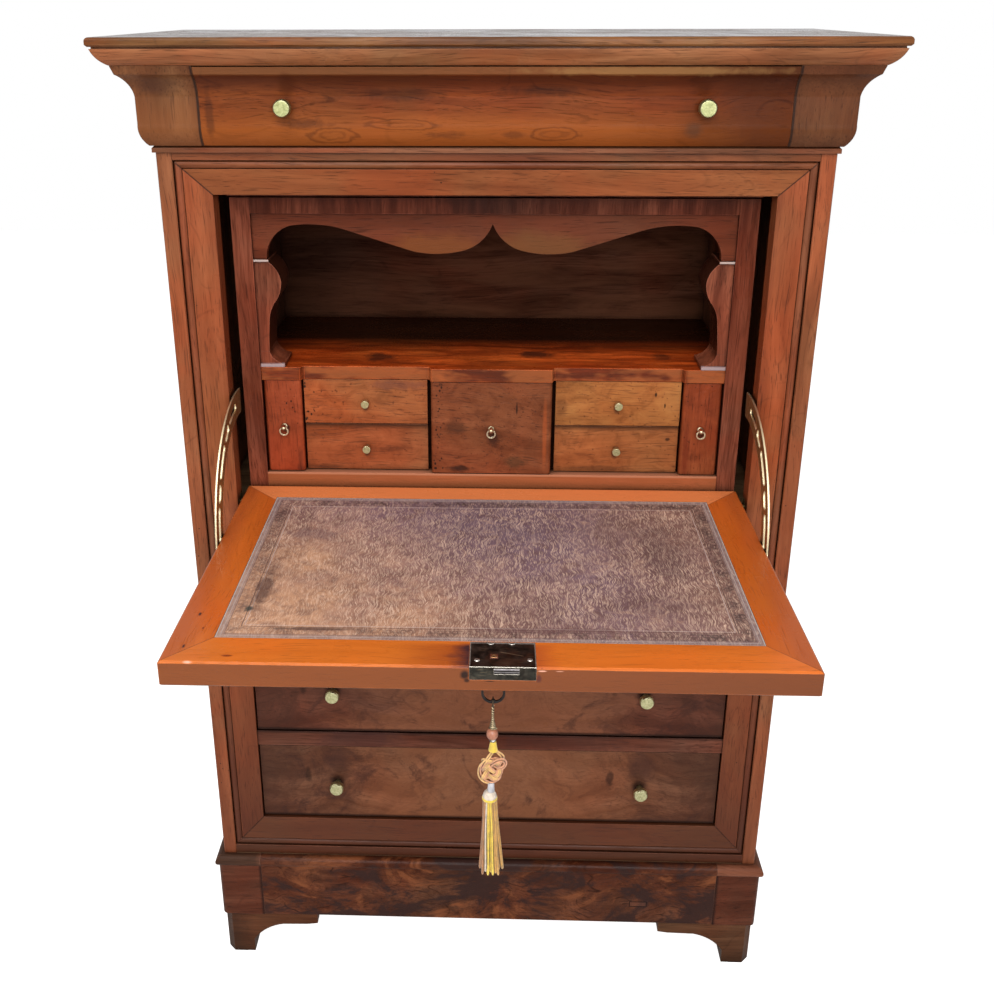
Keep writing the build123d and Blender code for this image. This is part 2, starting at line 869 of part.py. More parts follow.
# Hidden plinth drawer, whose front carries the half-round on
with BuildPart() as plinth_drawer_front:
    faces = (-plinth_projection, plinth_front_thickness - plinth_projection - joint_line)
    plinth_x = (-plinth_drawer_half_width, plinth_drawer_half_width)
    add_board(plinth_x, faces, (foot_height + drawer_gap, plinth_top))
    with BuildSketch(Plane((0, front_y, plinth_top), x_dir=(0, 1, 0), z_dir=(1, 0, 0))):
        with BuildLine():
            draw_half_round(-slip)
        make_face()
    extrude(amount=plinth_drawer_half_width, both=True)
keep(plinth_drawer_front, "plinth_drawer_front")

with BuildPart() as plinth_drawer_box:
    bearing = foot_height + drawer_gap + runner_thickness / 2 + slip
    add_box(
        box_half_width,
        bearing,
        plinth_top - bearing - drawer_box_drop,
        plinth_front_thickness - plinth_projection,
        drawer_box_back_depth,
        drawer_side_thickness,
        drawer_floor_thickness,
    )
keep(plinth_drawer_box, "plinth_drawer_box")


def draw_fall_member(width):
    """Member of the writing fall with an eased outer edge."""
    Polyline(
        (fall_edge_rounding, 0),
        (width, 0),
        (width, -fall_thickness),
        (fall_edge_rounding, -fall_thickness),
        (0, fall_edge_rounding - fall_thickness),
        (0, -fall_edge_rounding),
        close=True,
    )


def draw_escutcheon(margin):
    """Lozenge of the escutcheon, longer across the fall's edge."""
    reach, rise = escutcheon_width / 2 + margin, escutcheon_height / 2 + margin
    Polyline((reach, 0), (0, rise), (-reach, 0), (0, -rise), close=True)


# The fall: four mitred members round a panel, with the writing leather let in on top
fall_back_depth = pivot_depth + fall_heel
fall_widths = [fall_member_width, fall_member_width, fall_heel_member_width, fall_member_width]
lock_x = (lock_left, lock_left + lock_width)
lock_depths = (-fall_reach, -fall_reach + lock_length)
lock_case_x = (lock_x[0] + lock_case_margin, lock_x[1] - lock_case_margin)
lock_case_depths = (-fall_reach + lock_plate, lock_depths[1] - lock_case_margin)
lock_floor = writing_height - lock_plate - lock_case_depth
key_depth = -fall_reach + key_setback
key_y = front_y + key_depth
fall_bottom = writing_height - fall_thickness
with BuildPart() as fall_frame:
    for length in mitred_run(
        level(writing_height),
        rectangle(fall_half_width, -fall_reach, fall_back_depth),
        draw_fall_member,
        fall_widths,
        closed=True,
    ):
        add(length)
    plate_top = writing_height + overrun
    add_board(
        (lock_x[0] - joint_line, lock_x[1] + joint_line),
        (lock_depths[0] - overrun, lock_depths[1] + joint_line),
        (writing_height - lock_plate, plate_top),
        mode=Mode.SUBTRACT,
    )
    add_board(
        (lock_x[0] - joint_line, lock_x[1] + joint_line),
        (lock_depths[0] - overrun, lock_depths[0] + lock_plate),
        (writing_height - lock_selvedge_height - joint_line, plate_top),
        mode=Mode.SUBTRACT,
    )
    add_board(
        (lock_case_x[0] - joint_line, lock_case_x[1] + joint_line),
        (lock_case_depths[0] - overrun, lock_case_depths[1] + joint_line),
        (lock_floor - joint_line, plate_top),
        mode=Mode.SUBTRACT,
    )
    with Locations((key_x, key_y, writing_height - fall_thickness)):
        Cylinder(key_barrel_radius + keyhole_gap, 2 * fall_thickness - 2 * overrun, mode=Mode.SUBTRACT)
    with BuildSketch(Plane((key_x, key_y, fall_bottom))):
        with BuildLine():
            draw_escutcheon(joint_line)
        make_face()
    extrude(amount=escutcheon_thickness, mode=Mode.SUBTRACT)
    for sense in (-1, 1):
        with Locations((sense * fall_half_width, pivot_y, pivot_z)):
            Cylinder(
                pivot_radius + pivot_clearance,
                2 * (pivot_pin_reach + 2 * joint_line),
                rotation=(0, 90, 0),
                mode=Mode.SUBTRACT,
            )
keep(fall_frame, "fall_frame")

panel_half = fall_half_width - fall_member_width - joint_line
panel_depth = (
    -fall_reach + fall_member_width + joint_line,
    fall_back_depth - fall_heel_member_width - joint_line,
)
leather_top = writing_height - leather_recess
with BuildPart() as fall_panel:
    add_board(
        (-panel_half, panel_half),
        panel_depth,
        (writing_height - fall_thickness + panel_recess, leather_top - leather_thickness),
    )
keep(fall_panel, "fall_panel")

with BuildPart() as writing_leather:
    add_board(
        (-panel_half, panel_half), panel_depth, (leather_top - leather_thickness, leather_top)
    )
keep(writing_leather, "writing_leather")

# Quadrant stays: pierced brass plates on the fall's edges, centred on its pivot
stay_long_slots = ((91.5, 17.0), (127.0, 18.0), (160.0, 14.0))
stay_round_holes = (117.5, 152.5)
stay_slot_radius = stay_radius - stay_slot_inset - stay_slot_width / 2
with BuildPart() as quadrant_stays:
    for side in both_sides((fall_half_width, fall_half_width + stay_thickness)):
        with BuildSketch(Plane.YZ.offset(side[0])) as plate:
            with Locations((pivot_y, pivot_z)):
                Circle(stay_radius)
                Circle(stay_radius - stay_band, mode=Mode.SUBTRACT)
            tail = radians(stay_tail_angle)
            far = 2 * stay_radius
            with BuildLine():
                Polyline(
                    (pivot_y, pivot_z),
                    (pivot_y + far * sin(tail), pivot_z + far * cos(tail)),
                    (pivot_y - far, pivot_z + far),
                    (pivot_y - far, pivot_z),
                    close=True,
                )
            make_face(mode=Mode.INTERSECT)
            with Locations((pivot_y - stay_radius / 2, pivot_z)):
                SlotOverall(stay_radius + stay_arm_width, stay_arm_width)
            for start, sweep in stay_long_slots:
                slot_line = CenterArc((pivot_y, pivot_z), stay_slot_radius, start, sweep, mode=Mode.PRIVATE)
                SlotArc(slot_line, stay_slot_width * 2 / 3, mode=Mode.SUBTRACT)
            for angle in stay_round_holes:
                hole_y = pivot_y + stay_slot_radius * cos(radians(angle))
                hole_z = pivot_z + stay_slot_radius * sin(radians(angle))
                with Locations((hole_y, hole_z)):
                    Circle(stay_slot_width / 2, mode=Mode.SUBTRACT)
            with Locations((pivot_y, pivot_z)):
                Circle(pivot_radius + pivot_clearance, mode=Mode.SUBTRACT)
        extrude(amount=stay_thickness)
        stud_r = stay_radius - stay_slot_inset
        stud_y = pivot_y + stud_r * sin(radians(stay_stud_angle))
        stud_z = pivot_z + stud_r * cos(radians(stay_stud_angle))
        outer_face = side[1] if side[1] > 0 else side[0]
        sense = 1 if outer_face > 0 else -1
        with Locations((outer_face + sense * stay_stud_length / 2, stud_y, stud_z)):
            Box(stay_stud_length, 2 * stay_stud_radius, 2 * stay_stud_radius)
keep(quadrant_stays, "quadrant_stays")

# Pivots: a plate let into each side of the opening, with the pin that carries the fall
with BuildPart() as pivot_plates:
    for sense in (-1, 1):
        plate_x = opening_half_width + pivot_plate_thickness / 2
        pin_start = fall_half_width - pivot_pin_reach
        with Locations((sense * plate_x, pivot_y, pivot_z)):
            Box(pivot_plate_thickness, pivot_plate_width, pivot_plate_height)
        with Locations((sense * (pin_start + plate_x) / 2, pivot_y, pivot_z)):
            Cylinder(pivot_radius, plate_x - pin_start, rotation=(0, 90, 0))
keep(pivot_plates, "pivot_plates")

# Lock: cover plate, selvedge on the fall's edge and a case round the bolt
with BuildPart() as lock_case:
    add_board(lock_x, lock_depths, (writing_height - lock_plate, writing_height))
    add_board(
        lock_x,
        (lock_depths[0], lock_depths[0] + lock_plate),
        (writing_height - lock_selvedge_height, writing_height),
    )
    add_board(lock_case_x, lock_case_depths, (lock_floor, writing_height - lock_plate))
    add_board(
        (lock_case_x[0] + lock_wall, lock_case_x[1] - lock_wall),
        (lock_case_depths[0], lock_case_depths[1] - lock_wall),
        (lock_floor + lock_wall, writing_height - lock_plate),
        mode=Mode.SUBTRACT,
    )
    add_board(
        bolt_x,
        (lock_depths[0] - overrun, lock_depths[0] + lock_plate + overrun),
        (bolt_z[0] - bolt_clearance, bolt_z[1] + bolt_clearance),
        mode=Mode.SUBTRACT,
    )
    with Locations((key_x, key_y, lock_floor)):
        Cylinder(key_barrel_radius + keyhole_gap, 2 * lock_wall + overrun, mode=Mode.SUBTRACT)
    pin_low = lock_floor + lock_wall
    with Locations((key_x, key_y, (pin_low + writing_height - lock_plate) / 2)):
        Cylinder(key_pin_radius, writing_height - lock_plate - pin_low)
keep(lock_case, "lock_case")

with BuildPart() as lock_bolt:
    add_board(
        (bolt_x[0] + bolt_clearance, bolt_x[1] - bolt_clearance),
        (lock_depths[0], lock_depths[0] + bolt_length),
        bolt_z,
    )
    chamfer(lock_bolt.edges().filter_by(Axis.X).group_by(Axis.Y)[0], bolt_thickness / 5)
keep(lock_bolt, "lock_bolt")

with BuildPart() as escutcheon:
    with BuildSketch(Plane((key_x, key_y, fall_bottom))):
        with BuildLine():
            draw_escutcheon(0)
        make_face()
        Circle(key_barrel_radius + keyhole_gap, mode=Mode.SUBTRACT)
    extrude(amount=escutcheon_thickness)
keep(escutcheon, "escutcheon")

# Key: piped barrel on the lock's pin, a bit, and an oval bow with a cusp
bow_top = fall_bottom - key_neck
bow_centre = bow_top - key_bow_height / 2
bow_bottom = bow_top - key_bow_height
key_tip = bolt_z[0] - 2 * slip
with BuildPart() as key:
    barrel_low = bow_top - key_bow_rim / 2
    with Locations((key_x, key_y, (barrel_low + key_tip) / 2)):
        Cylinder(key_barrel_radius, key_tip - barrel_low)
    bit_low = key_tip - key_bit_thickness
    add_board(
        (key_x, key_x + key_bit_reach),
        (key_depth - key_bit_thickness / 2, key_depth + key_bit_thickness / 2),
        (bit_low, key_tip),
    )
    bore_low = lock_floor + lock_wall - 2 * slip
    with Locations((key_x, key_y, (bore_low + key_tip + overrun) / 2)):
        Cylinder(key_pin_radius + key_clearance, key_tip + overrun - bore_low, mode=Mode.SUBTRACT)
    with BuildSketch(Plane((key_x, key_y, bow_centre), x_dir=(1, 0, 0), z_dir=(0, -1, 0))):
        SlotOverall(key_bow_width, key_bow_height)
        SlotOverall(
            key_bow_width - 2 * key_bow_rim,
            key_bow_height - 2 * key_bow_rim,
            mode=Mode.SUBTRACT,
        )
        with BuildLine():
            cusp_foot = key_bow_rim / 2 - key_bow_height / 2
            Polyline(
                (-2 * key_bow_rim, cusp_foot),
                (2 * key_bow_rim, cusp_foot),
                (0, key_bow_rim + key_bow_cusp - key_bow_height / 2),
                close=True,
            )
        make_face()
    extrude(amount=key_bow_thickness / 2, both=True)
keep(key, "key")

# Tassel on the key: clip and bead, knotted cord, collar with skirt
swing_z = bow_bottom + key_bow_rim + key_bow_cusp + slip + clip_ring_wall - clip_ring_radius
clip_top = swing_z - clip_ring_radius + clip_ring_wall / 2
clip_bottom = swing_z - clip_ring_radius - clip_length
bead_centre = clip_bottom - bead_radius
with BuildPart() as tassel_clip:
    with Locations((key_x, key_y, swing_z)):
        Cylinder(clip_ring_radius, clip_ring_wall, rotation=(0, 90, 0))
        Cylinder(
            clip_ring_radius - clip_ring_wall,
            clip_ring_wall,
            rotation=(0, 90, 0),
            mode=Mode.SUBTRACT,
        )
    with BuildSketch(Plane((key_x, key_y, clip_bottom))):
        Rectangle(clip_width, clip_width)
    extrude(amount=clip_top - clip_bottom)
    with BuildSketch(Plane((key_x, key_y, bead_centre - joint_line))):
        RegularPolygon(bead_radius, bead_sides)
    extrude(amount=bead_radius, both=True)
    ends = tassel_clip.edges().group_by(Axis.Z)[0]
    chamfer(ends, bead_radius * 2 / 5)
keep(tassel_clip, "tassel_clip")

# Shares of the knot's width and height, from its neck down to the lower wrap
knot_outline_shares = ((0.30, 0.0), (0.33, 0.17), (1.0, 0.36), (1.0, 0.62), (0.3, 0.88), (0.28, 1.0))
knot_top = bead_centre - bead_radius - 2 * joint_line
knot_bottom = knot_top - knot_height
with BuildPart() as tassel_knot:
    with BuildSketch(Plane((key_x, key_y, knot_top), x_dir=(1, 0, 0), z_dir=(0, -1, 0))):
        with BuildLine():
            outline = [(w * knot_width / 2, -h * knot_height) for w, h in knot_outline_shares]
            Polyline(*outline, *[(-x, z) for x, z in reversed(outline)], close=True)
        make_face()
    extrude(amount=knot_thickness / 2, both=True)
    long_edges = tassel_knot.edges().filter_by(Axis.Y)
    chamfer(long_edges.group_by(Axis.X)[0] + long_edges.group_by(Axis.X)[-1], knot_width / 5)
keep(tassel_knot, "tassel_knot")

collar_top = knot_bottom - joint_line
skirt_top = collar_top - collar_height
with BuildPart() as tassel_skirt:
    with BuildSketch(Plane((key_x, key_y, skirt_top))):
        RegularPolygon(collar_radius, skirt_folds)
    extrude(amount=collar_height)
    chamfer(tassel_skirt.edges().group_by(Axis.Z)[-1], collar_height / 4)
    with BuildSketch(Plane((key_x, key_y, skirt_top), z_dir=(0, 0, -1))) as waist:
        RegularPolygon(collar_radius, skirt_folds)
    extrude(waist.sketch, amount=skirt_height, taper=-skirt_flare)
keep(tassel_skirt, "tassel_skirt")

# Inner case
inner_outer = fall_half_width - inner_side_gap
inner_side = inner_outer - inner_board
stile_inner = inner_outer - face_stile_width
narrow_edge = stile_inner - narrow_width
inner_depths = (face_depth + face_frame_thickness + joint_line, inner_back_depth)
box_floor = writing_height + inner_floor_rise
shelf_bottom = box_floor + inner_drawers_height
shelf_top = shelf_bottom + shelf_thickness
face_top = opening_top - face_top_gap
face_rail_top = face_top - face_top_rail_height
frieze_low = face_rail_top - frieze_height
frieze_high = face_rail_top - frieze_crown
partition_start = face_depth + pair_setback + inner_front_thickness + slip
upper_pair_low = shelf_bottom - inner_drawer_gap - upper_pair_height
divider_top = upper_pair_low - inner_drawer_gap / 2 + partition_thickness / 2
centre_wall = centre_edge + centre_gap / 2
narrow_wall = narrow_edge - side_gap / 2
with BuildPart() as inner_case:
    for side in both_sides((inner_side + joint_line, inner_outer)):
        add_board(side, inner_depths, (fall_rail_top, face_top))
    across = (-inner_side, inner_side)
    add_board(across, inner_depths, (face_top - inner_board, face_top))
    add_board(across, inner_depths, (box_floor - inner_board, box_floor))
    add_board(
        (-inner_outer, inner_outer),
        (inner_back_depth + joint_line, inner_back_depth + inner_back_thickness),
        (fall_rail_top, face_top),
    )
    wall_z = (box_floor + joint_line, shelf_bottom - joint_line)
    for wall in (centre_wall, narrow_wall):
        half = partition_thickness / 2
        for side in both_sides((wall - half, wall + half)):
            add_board(side, (partition_start, inner_back_depth - joint_line), wall_z)
    divider_x = (
        centre_wall + partition_thickness / 2 + joint_line,
        narrow_wall - partition_thickness / 2 - joint_line,
    )
    for side in both_sides(divider_x):
        add_board(
            side,
            (partition_start, inner_back_depth - joint_line),
            (divider_top - partition_thickness, divider_top),
        )
    guide_depths = (inner_depths[0], inner_back_depth - joint_line)
    for side in both_sides((stile_inner, inner_side)):
        add_board(side, guide_depths, wall_z)
keep(inner_case, "inner_case")

with BuildPart() as inner_face_frame:
    face = (face_depth, face_depth + face_frame_thickness)
    for side in both_sides((stile_inner, inner_outer)):
        add_board(side, face, (fall_rail_top, face_top))
    rail_x = (-stile_inner + joint_line, stile_inner - joint_line)
    add_board(rail_x, face, (face_rail_top, face_top))
    add_board(rail_x, face, (fall_rail_top, box_floor))
    batten_start = pivot_depth + fall_thickness / 2 + slip
    batten_top = opening_top - joint_line
    add_board(
        (-inner_outer, inner_outer),
        (batten_start, face_depth - joint_line),
        (batten_top - stop_batten_height, batten_top),
    )
keep(inner_face_frame, "inner_face_frame")

# Breakfront shelf: narrow ends forward, pairs recessed, centre furthest forward
with BuildPart() as inner_shelf:
    narrow_line = face_depth + narrow_setback - shelf_lead
    pair_line = face_depth + pair_setback - shelf_lead
    centre_line = face_depth + centre_setback - shelf_lead
    rear = inner_back_depth - joint_line
    step_out = narrow_edge
    step_in = centre_edge
    ease = shelf_edge_radius / 2
    with BuildSketch(level(shelf_bottom)):
        with BuildLine():
            half_outline = [
                (stile_inner - joint_line, narrow_line),
                (step_out, narrow_line),
                (step_out - ease, pair_line),
                (step_in + ease, pair_line),
                (step_in, centre_line),
            ]
            Polyline(
                *half_outline,
                *[(-x, y) for x, y in reversed(half_outline)],
                (-stile_inner + joint_line, face_depth + face_frame_thickness + joint_line),
                (-inner_side + joint_line, face_depth + face_frame_thickness + joint_line),
                (-inner_side + joint_line, rear),
                (inner_side - joint_line, rear),
                (inner_side - joint_line, face_depth + face_frame_thickness + joint_line),
                (stile_inner - joint_line, face_depth + face_frame_thickness + joint_line),
                close=True,
            )
        make_face()
    extrude(amount=shelf_thickness)
    steps = inner_shelf.edges().filter_by(Axis.Z).filter_by(
        lambda edge: edge.center().Y < front_y + face_depth + face_frame_thickness
        and abs(edge.center().X) < (stile_inner + narrow_edge) / 2
    )
    chamfer(steps, ease)
keep(inner_shelf, "inner_shelf")

def add_arcs(points):
    """Arcs along an odd number of points, each through three of them."""
    for i in range(0, len(points) - 2, 2):
        ThreePointArc(points[i], points[i + 1], points[i + 2])


# Scalloped frieze: shares of the half width and of the height between its low and high lines
frieze_outline_shares = (
    (0.944, 0.10),
    (0.900, 0.70),
    (0.840, 0.93),
    (0.735, 0.965),
    (0.600, 0.80),
    (0.440, 0.46),
    (0.330, 0.23),
    (0.225, 0.165),
    (0.120, 0.26),
    (0.045, 0.54),
    (0.0, 1.0),
)
frieze_half = stile_inner - joint_line
with BuildPart() as niche_frieze:
    def frieze_points(side):
        """Scallop from the end of the frieze to the cusp in the middle."""
        rise = frieze_high - frieze_low
        return [(side * w * frieze_half, frieze_low + h * rise) for w, h in frieze_outline_shares]

    frieze_front = face_depth + frieze_setback
    with BuildSketch(facing(frieze_front)):
        with BuildLine():
            right = frieze_points(1)
            left = frieze_points(-1)
            add_arcs(right)
            add_arcs(left)
            Polyline(
                right[0],
                (right[0][0], frieze_low),
                (frieze_half, frieze_low),
                (frieze_half, face_rail_top - joint_line),
                (-frieze_half, face_rail_top - joint_line),
                (-frieze_half, frieze_low),
                (left[0][0], frieze_low),
                left[0],
            )
        make_face()
    extrude(amount=-frieze_thickness)
keep(niche_frieze, "niche_frieze")

# Consoles: shares of the bracket's width and height, from its cap down to its base
console_outline_shares = (
    (0.52, 1.0),
    (0.84, 0.91),
    (1.0, 0.78),
    (0.90, 0.64),
    (0.68, 0.54),
    (0.53, 0.45),
    (0.45, 0.32),
    (0.405, 0.16),
    (0.38, 0.0),
)
with BuildPart() as consoles:
    console_low = shelf_top + console_base_height + joint_line
    console_high = frieze_low - console_cap_thickness - 2 * joint_line
    console_front = face_depth + frieze_setback
    for sense in (-1, 1):
        wall = stile_inner - joint_line
        rise = console_high - console_low
        curve = [
            (sense * (wall - w * console_width), console_low + h * rise)
            for w, h in console_outline_shares
        ]
        with BuildSketch(facing(console_front)) as outline:
            with BuildLine():
                add_arcs(curve)
                Polyline(curve[-1], (sense * wall, console_low), (sense * wall, console_high), curve[0])
            make_face()
        extrude(outline.sketch, amount=-console_depth)
    for side in both_sides((stile_inner - console_cap_width, stile_inner - joint_line)):
        add_board(
            side,
            (console_front - console_cap_projection, console_front + console_depth),
            (console_high + joint_line, frieze_low - joint_line),
        )
    base_mid = shelf_top + console_base_step
    for side in both_sides((stile_inner - console_base_width, stile_inner - joint_line)):
        add_board(
            side,
            (console_front - narrow_setback / 2, console_front + console_depth),
            (shelf_top + niche_floor_play, base_mid),
        )
    for sense in (-1, 1):
        wall = stile_inner - joint_line
        with BuildSketch(facing(console_front)) as outline:
            with BuildLine():
                top_width = console_width * console_outline_shares[-1][0]
                low_width = console_base_width - console_base_step / 2
                Line((sense * wall, base_mid), (sense * (wall - low_width), base_mid))
                ThreePointArc(
                    (sense * (wall - low_width), base_mid),
                    (
                        sense * (wall - (low_width + top_width) / 2 + console_base_step / 2),
                        (base_mid + console_low) / 2 - console_base_step / 2,
                    ),
                    (sense * (wall - top_width), console_low - joint_line),
                )
                Polyline(
                    (sense * (wall - top_width), console_low - joint_line),
                    (sense * wall, console_low - joint_line),
                    (sense * wall, base_mid),
                )
            make_face()
        extrude(outline.sketch, amount=-console_depth)
keep(consoles, "consoles")

# Small drawers of the inner case: front, two sides, back and bottom each
narrow_front_x = (narrow_edge + side_gap / 2, stile_inner - inner_drawer_gap)
pair_front_x = (centre_edge + centre_gap, narrow_edge - side_gap / 2)
centre_front_x = (-centre_edge, centre_edge)
full_front_z = (box_floor + inner_drawer_gap, shelf_bottom - inner_drawer_gap)
upper_front_z = (upper_pair_low, full_front_z[1])
lower_front_z = (full_front_z[0], upper_pair_low - inner_drawer_gap)
half_partition = partition_thickness / 2
narrow_bay = (narrow_wall + half_partition, stile_inner - inner_drawer_gap)
pair_bay = (centre_wall + half_partition, narrow_wall - half_partition)
centre_bay = (half_partition - centre_wall, centre_wall - half_partition)
lower_bay_top = divider_top - partition_thickness


def on_left(x):
    """The same stretch of X on the other side."""
    return (-x[1], -x[0])


# name, front X, front Z, setback, bay X, floor of the bay, top of the bay, has rounded edges
inner_drawers = (
    ("left_narrow", on_left(narrow_front_x), full_front_z, narrow_setback, on_left(narrow_bay),
     box_floor, shelf_bottom, True),
    ("right_narrow", narrow_front_x, full_front_z, narrow_setback, narrow_bay,
     box_floor, shelf_bottom, True),
    ("centre", centre_front_x, full_front_z, centre_setback, centre_bay,
     box_floor, shelf_bottom, True),
    ("left_upper", on_left(pair_front_x), upper_front_z, pair_setback, on_left(pair_bay),
     divider_top, shelf_bottom, False),
    ("right_upper", pair_front_x, upper_front_z, pair_setback, pair_bay,
     divider_top, shelf_bottom, False),
    ("left_lower", on_left(pair_front_x), lower_front_z, lower_pair_setback, on_left(pair_bay),
     box_floor, lower_bay_top, False),
    ("right_lower", pair_front_x, lower_front_z, lower_pair_setback, pair_bay,
     box_floor, lower_bay_top, False),
)
for name, front_x, front_z, setback, bay, floor, ceiling, rounded in inner_drawers:
    start = face_depth + setback
    middle_x, middle_z = sum(front_x) / 2, sum(front_z) / 2
    with BuildPart() as inner_drawer:
        front_back = partition_start - slip
        add_board(front_x, (start, front_back), front_z)
        uprights = inner_drawer.edges().filter_by(Axis.Z).group_by(Axis.Y)[0]
        fillet(uprights, inner_front_rounding if rounded else arris)
        add_tray(
            (bay[0] + inner_box_play, bay[1] - inner_box_play),
            floor + slip,
            ceiling - floor - inner_box_drop,
            front_back + joint_line,
            inner_box_back_depth,
            inner_side_thickness,
            inner_box_floor,
        )
        if rounded:
            eye_y = front_y + start - ring_post_reach
            post_back = front_y + start - joint_line
            post_front = eye_y - ring_post_radius
            post_centre = (middle_x, post_front, middle_z)
            with BuildSketch(Plane(post_centre, x_dir=(1, 0, 0), z_dir=(0, 1, 0))) as post:
                Circle(ring_post_radius)
                Rectangle(2 * ring_eye_half, 2 * ring_post_radius, mode=Mode.INTERSECT)
            extrude(post.sketch, amount=post_back - post_front)
            with Locations((middle_x, eye_y, middle_z)):
                Cylinder(
                    ring_wire_radius + ring_hole_play,
                    2 * ring_post_radius + overrun,
                    rotation=(0, 90, 0),
                    mode=Mode.SUBTRACT,
                )
    keep(inner_drawer, f"{name}_drawer")
    if rounded:
        with BuildPart() as ring:
            ring_width = 2 * ring_wire_radius
            with Locations((middle_x, eye_y, middle_z - ring_radius)):
                Cylinder(ring_radius + ring_wire_radius, ring_width, rotation=(90, 0, 0))
                Cylinder(
                    ring_radius - ring_wire_radius,
                    ring_width,
                    rotation=(90, 0, 0),
                    mode=Mode.SUBTRACT,
                )
        keep(ring, f"{name}_ring")
    else:
        with BuildPart() as small_knob:
            add_knob(
                middle_x,
                start,
                middle_z,
                small_knob_radius,
                small_knob_length,
                small_knob_outline_shares,
            )
        keep(small_knob, f"{name}_knob")
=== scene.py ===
import bpy, math, random
from mathutils import Matrix, Vector


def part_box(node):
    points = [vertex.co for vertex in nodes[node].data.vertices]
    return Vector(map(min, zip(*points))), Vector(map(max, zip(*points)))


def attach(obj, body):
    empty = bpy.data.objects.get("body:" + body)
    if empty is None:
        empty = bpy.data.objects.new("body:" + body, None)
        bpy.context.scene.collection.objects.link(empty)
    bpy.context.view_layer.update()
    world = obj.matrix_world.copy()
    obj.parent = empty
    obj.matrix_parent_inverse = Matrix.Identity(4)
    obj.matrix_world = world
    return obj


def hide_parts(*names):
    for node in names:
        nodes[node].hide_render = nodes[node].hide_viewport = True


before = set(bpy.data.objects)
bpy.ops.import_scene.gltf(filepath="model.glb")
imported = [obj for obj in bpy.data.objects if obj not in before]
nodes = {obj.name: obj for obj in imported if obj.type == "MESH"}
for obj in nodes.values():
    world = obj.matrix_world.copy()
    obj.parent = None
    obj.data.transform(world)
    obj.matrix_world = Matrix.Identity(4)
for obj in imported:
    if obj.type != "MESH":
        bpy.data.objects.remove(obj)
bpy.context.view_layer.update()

# The room. A pale floor and a white room stand round the secretary. A wide soft
# lamp stands before it above eye level, a second hangs over the writing fall, and
# two faint ones stand at the sides, as in a dealer's photograph.
floor_half, floor_glow, room_light = 6, 0.82, 0.36


def seen_by(tree, *kinds):
    """1 for the rays of these kinds, and 0 for all others."""
    rays = tree.nodes.new("ShaderNodeLightPath")
    seen = rays.outputs[kinds[0]]
    for kind in kinds[1:]:
        either = tree.nodes.new("ShaderNodeMath")
        either.operation = "MAXIMUM"
        tree.links.new(seen, either.inputs[0])
        tree.links.new(rays.outputs[kind], either.inputs[1])
        seen = either.outputs[0]
    return seen


floor_plane = bpy.data.meshes.new("floor")
floor_corners = [(x * floor_half, y * floor_half, 0) for x, y in ((-1, -1), (1, -1), (1, 1), (-1, 1))]
floor_plane.from_pydata(floor_corners, [], [(0, 1, 2, 3)])
room_floor = bpy.data.objects.new("floor", floor_plane)
bpy.context.scene.collection.objects.link(room_floor)

floor_paint = bpy.data.materials.new("pale floor")
floor_paint.use_nodes = True
tree = floor_paint.node_tree
matt = tree.nodes["Principled BSDF"]
matt.inputs["Base Color"].default_value = (0.78, 0.77, 0.76, 1)
matt.inputs["Roughness"].default_value = 0.9
matt.inputs["Specular IOR Level"].default_value = 0.1
matt.inputs["Emission Color"].default_value = (1, 1, 1, 1)
glow = tree.nodes.new("ShaderNodeMath")
glow.operation = "MULTIPLY"
glow.inputs[1].default_value = floor_glow
tree.links.new(seen_by(tree, "Is Camera Ray", "Is Transmission Ray"), glow.inputs[0])
tree.links.new(glow.outputs[0], matt.inputs["Emission Strength"])
floor_plane.materials.append(floor_paint)

room = bpy.data.worlds.new("white room")
bpy.context.scene.world = room
room.use_nodes = True
tree = room.node_tree
level = tree.nodes.new("ShaderNodeMapRange")
level.inputs["To Min"].default_value = room_light
level.inputs["To Max"].default_value = 1.0
tree.links.new(seen_by(tree, "Is Camera Ray", "Is Transmission Ray", "Is Glossy Ray"), level.inputs["Value"])
tree.links.new(level.outputs["Result"], tree.nodes["Background"].inputs["Strength"])
tree.nodes["Background"].inputs["Color"].default_value = (1, 1, 1, 1)

for name, place, target, size, power in (
    ("lamp before the front", (0.1, -2.6, 2.1), (0, -0.1, 0.85), 1.8, 66),
    ("lamp over the fall", (-0.5, -1.5, 3.2), (0, -0.1, 0.8), 1.4, 34),
    ("lamp at the left", (-2.6, -1.6, 1.5), (0, 0, 0.8), 1.4, 9),
    ("lamp at the right", (2.6, -1.6, 1.7), (0, 0, 0.8), 1.4, 11),
):
    lamp = bpy.data.lights.new(name, "AREA")
    lamp.size, lamp.energy = size, power
    hung = bpy.data.objects.new(name, lamp)
    hung.location = place
    hung.rotation_euler = (Vector(target) - Vector(place)).to_track_quat("-Z", "Y").to_euler()
    bpy.context.scene.collection.objects.link(hung)

# The camera stands before the middle, a little above the slab, and looks down at
# the writing fall. Its frame is shifted, as the photograph was cropped.
camera_place, focal_length = (0.004547, -1.33401, 1.433095), 39.674
yaw, pitch, roll = (math.radians(angle) for angle in (-1.9474, 20.8408, -0.1441))
forward = Vector((math.sin(yaw) * math.cos(pitch), math.cos(yaw) * math.cos(pitch), -math.sin(pitch)))
right = Vector((math.cos(yaw), -math.sin(yaw), 0))
up = right.cross(forward)
side = right * math.cos(roll) + up * math.sin(roll)
crown = up * math.cos(roll) - right * math.sin(roll)
camera = bpy.data.objects.new("camera", bpy.data.cameras.new("camera"))
camera.data.lens = focal_length
camera.data.shift_x, camera.data.shift_y = 0.03754, -0.07538
camera.matrix_world = Matrix.Translation(camera_place) @ Matrix((side, crown, -forward)).transposed().to_4x4()
bpy.context.scene.collection.objects.link(camera)
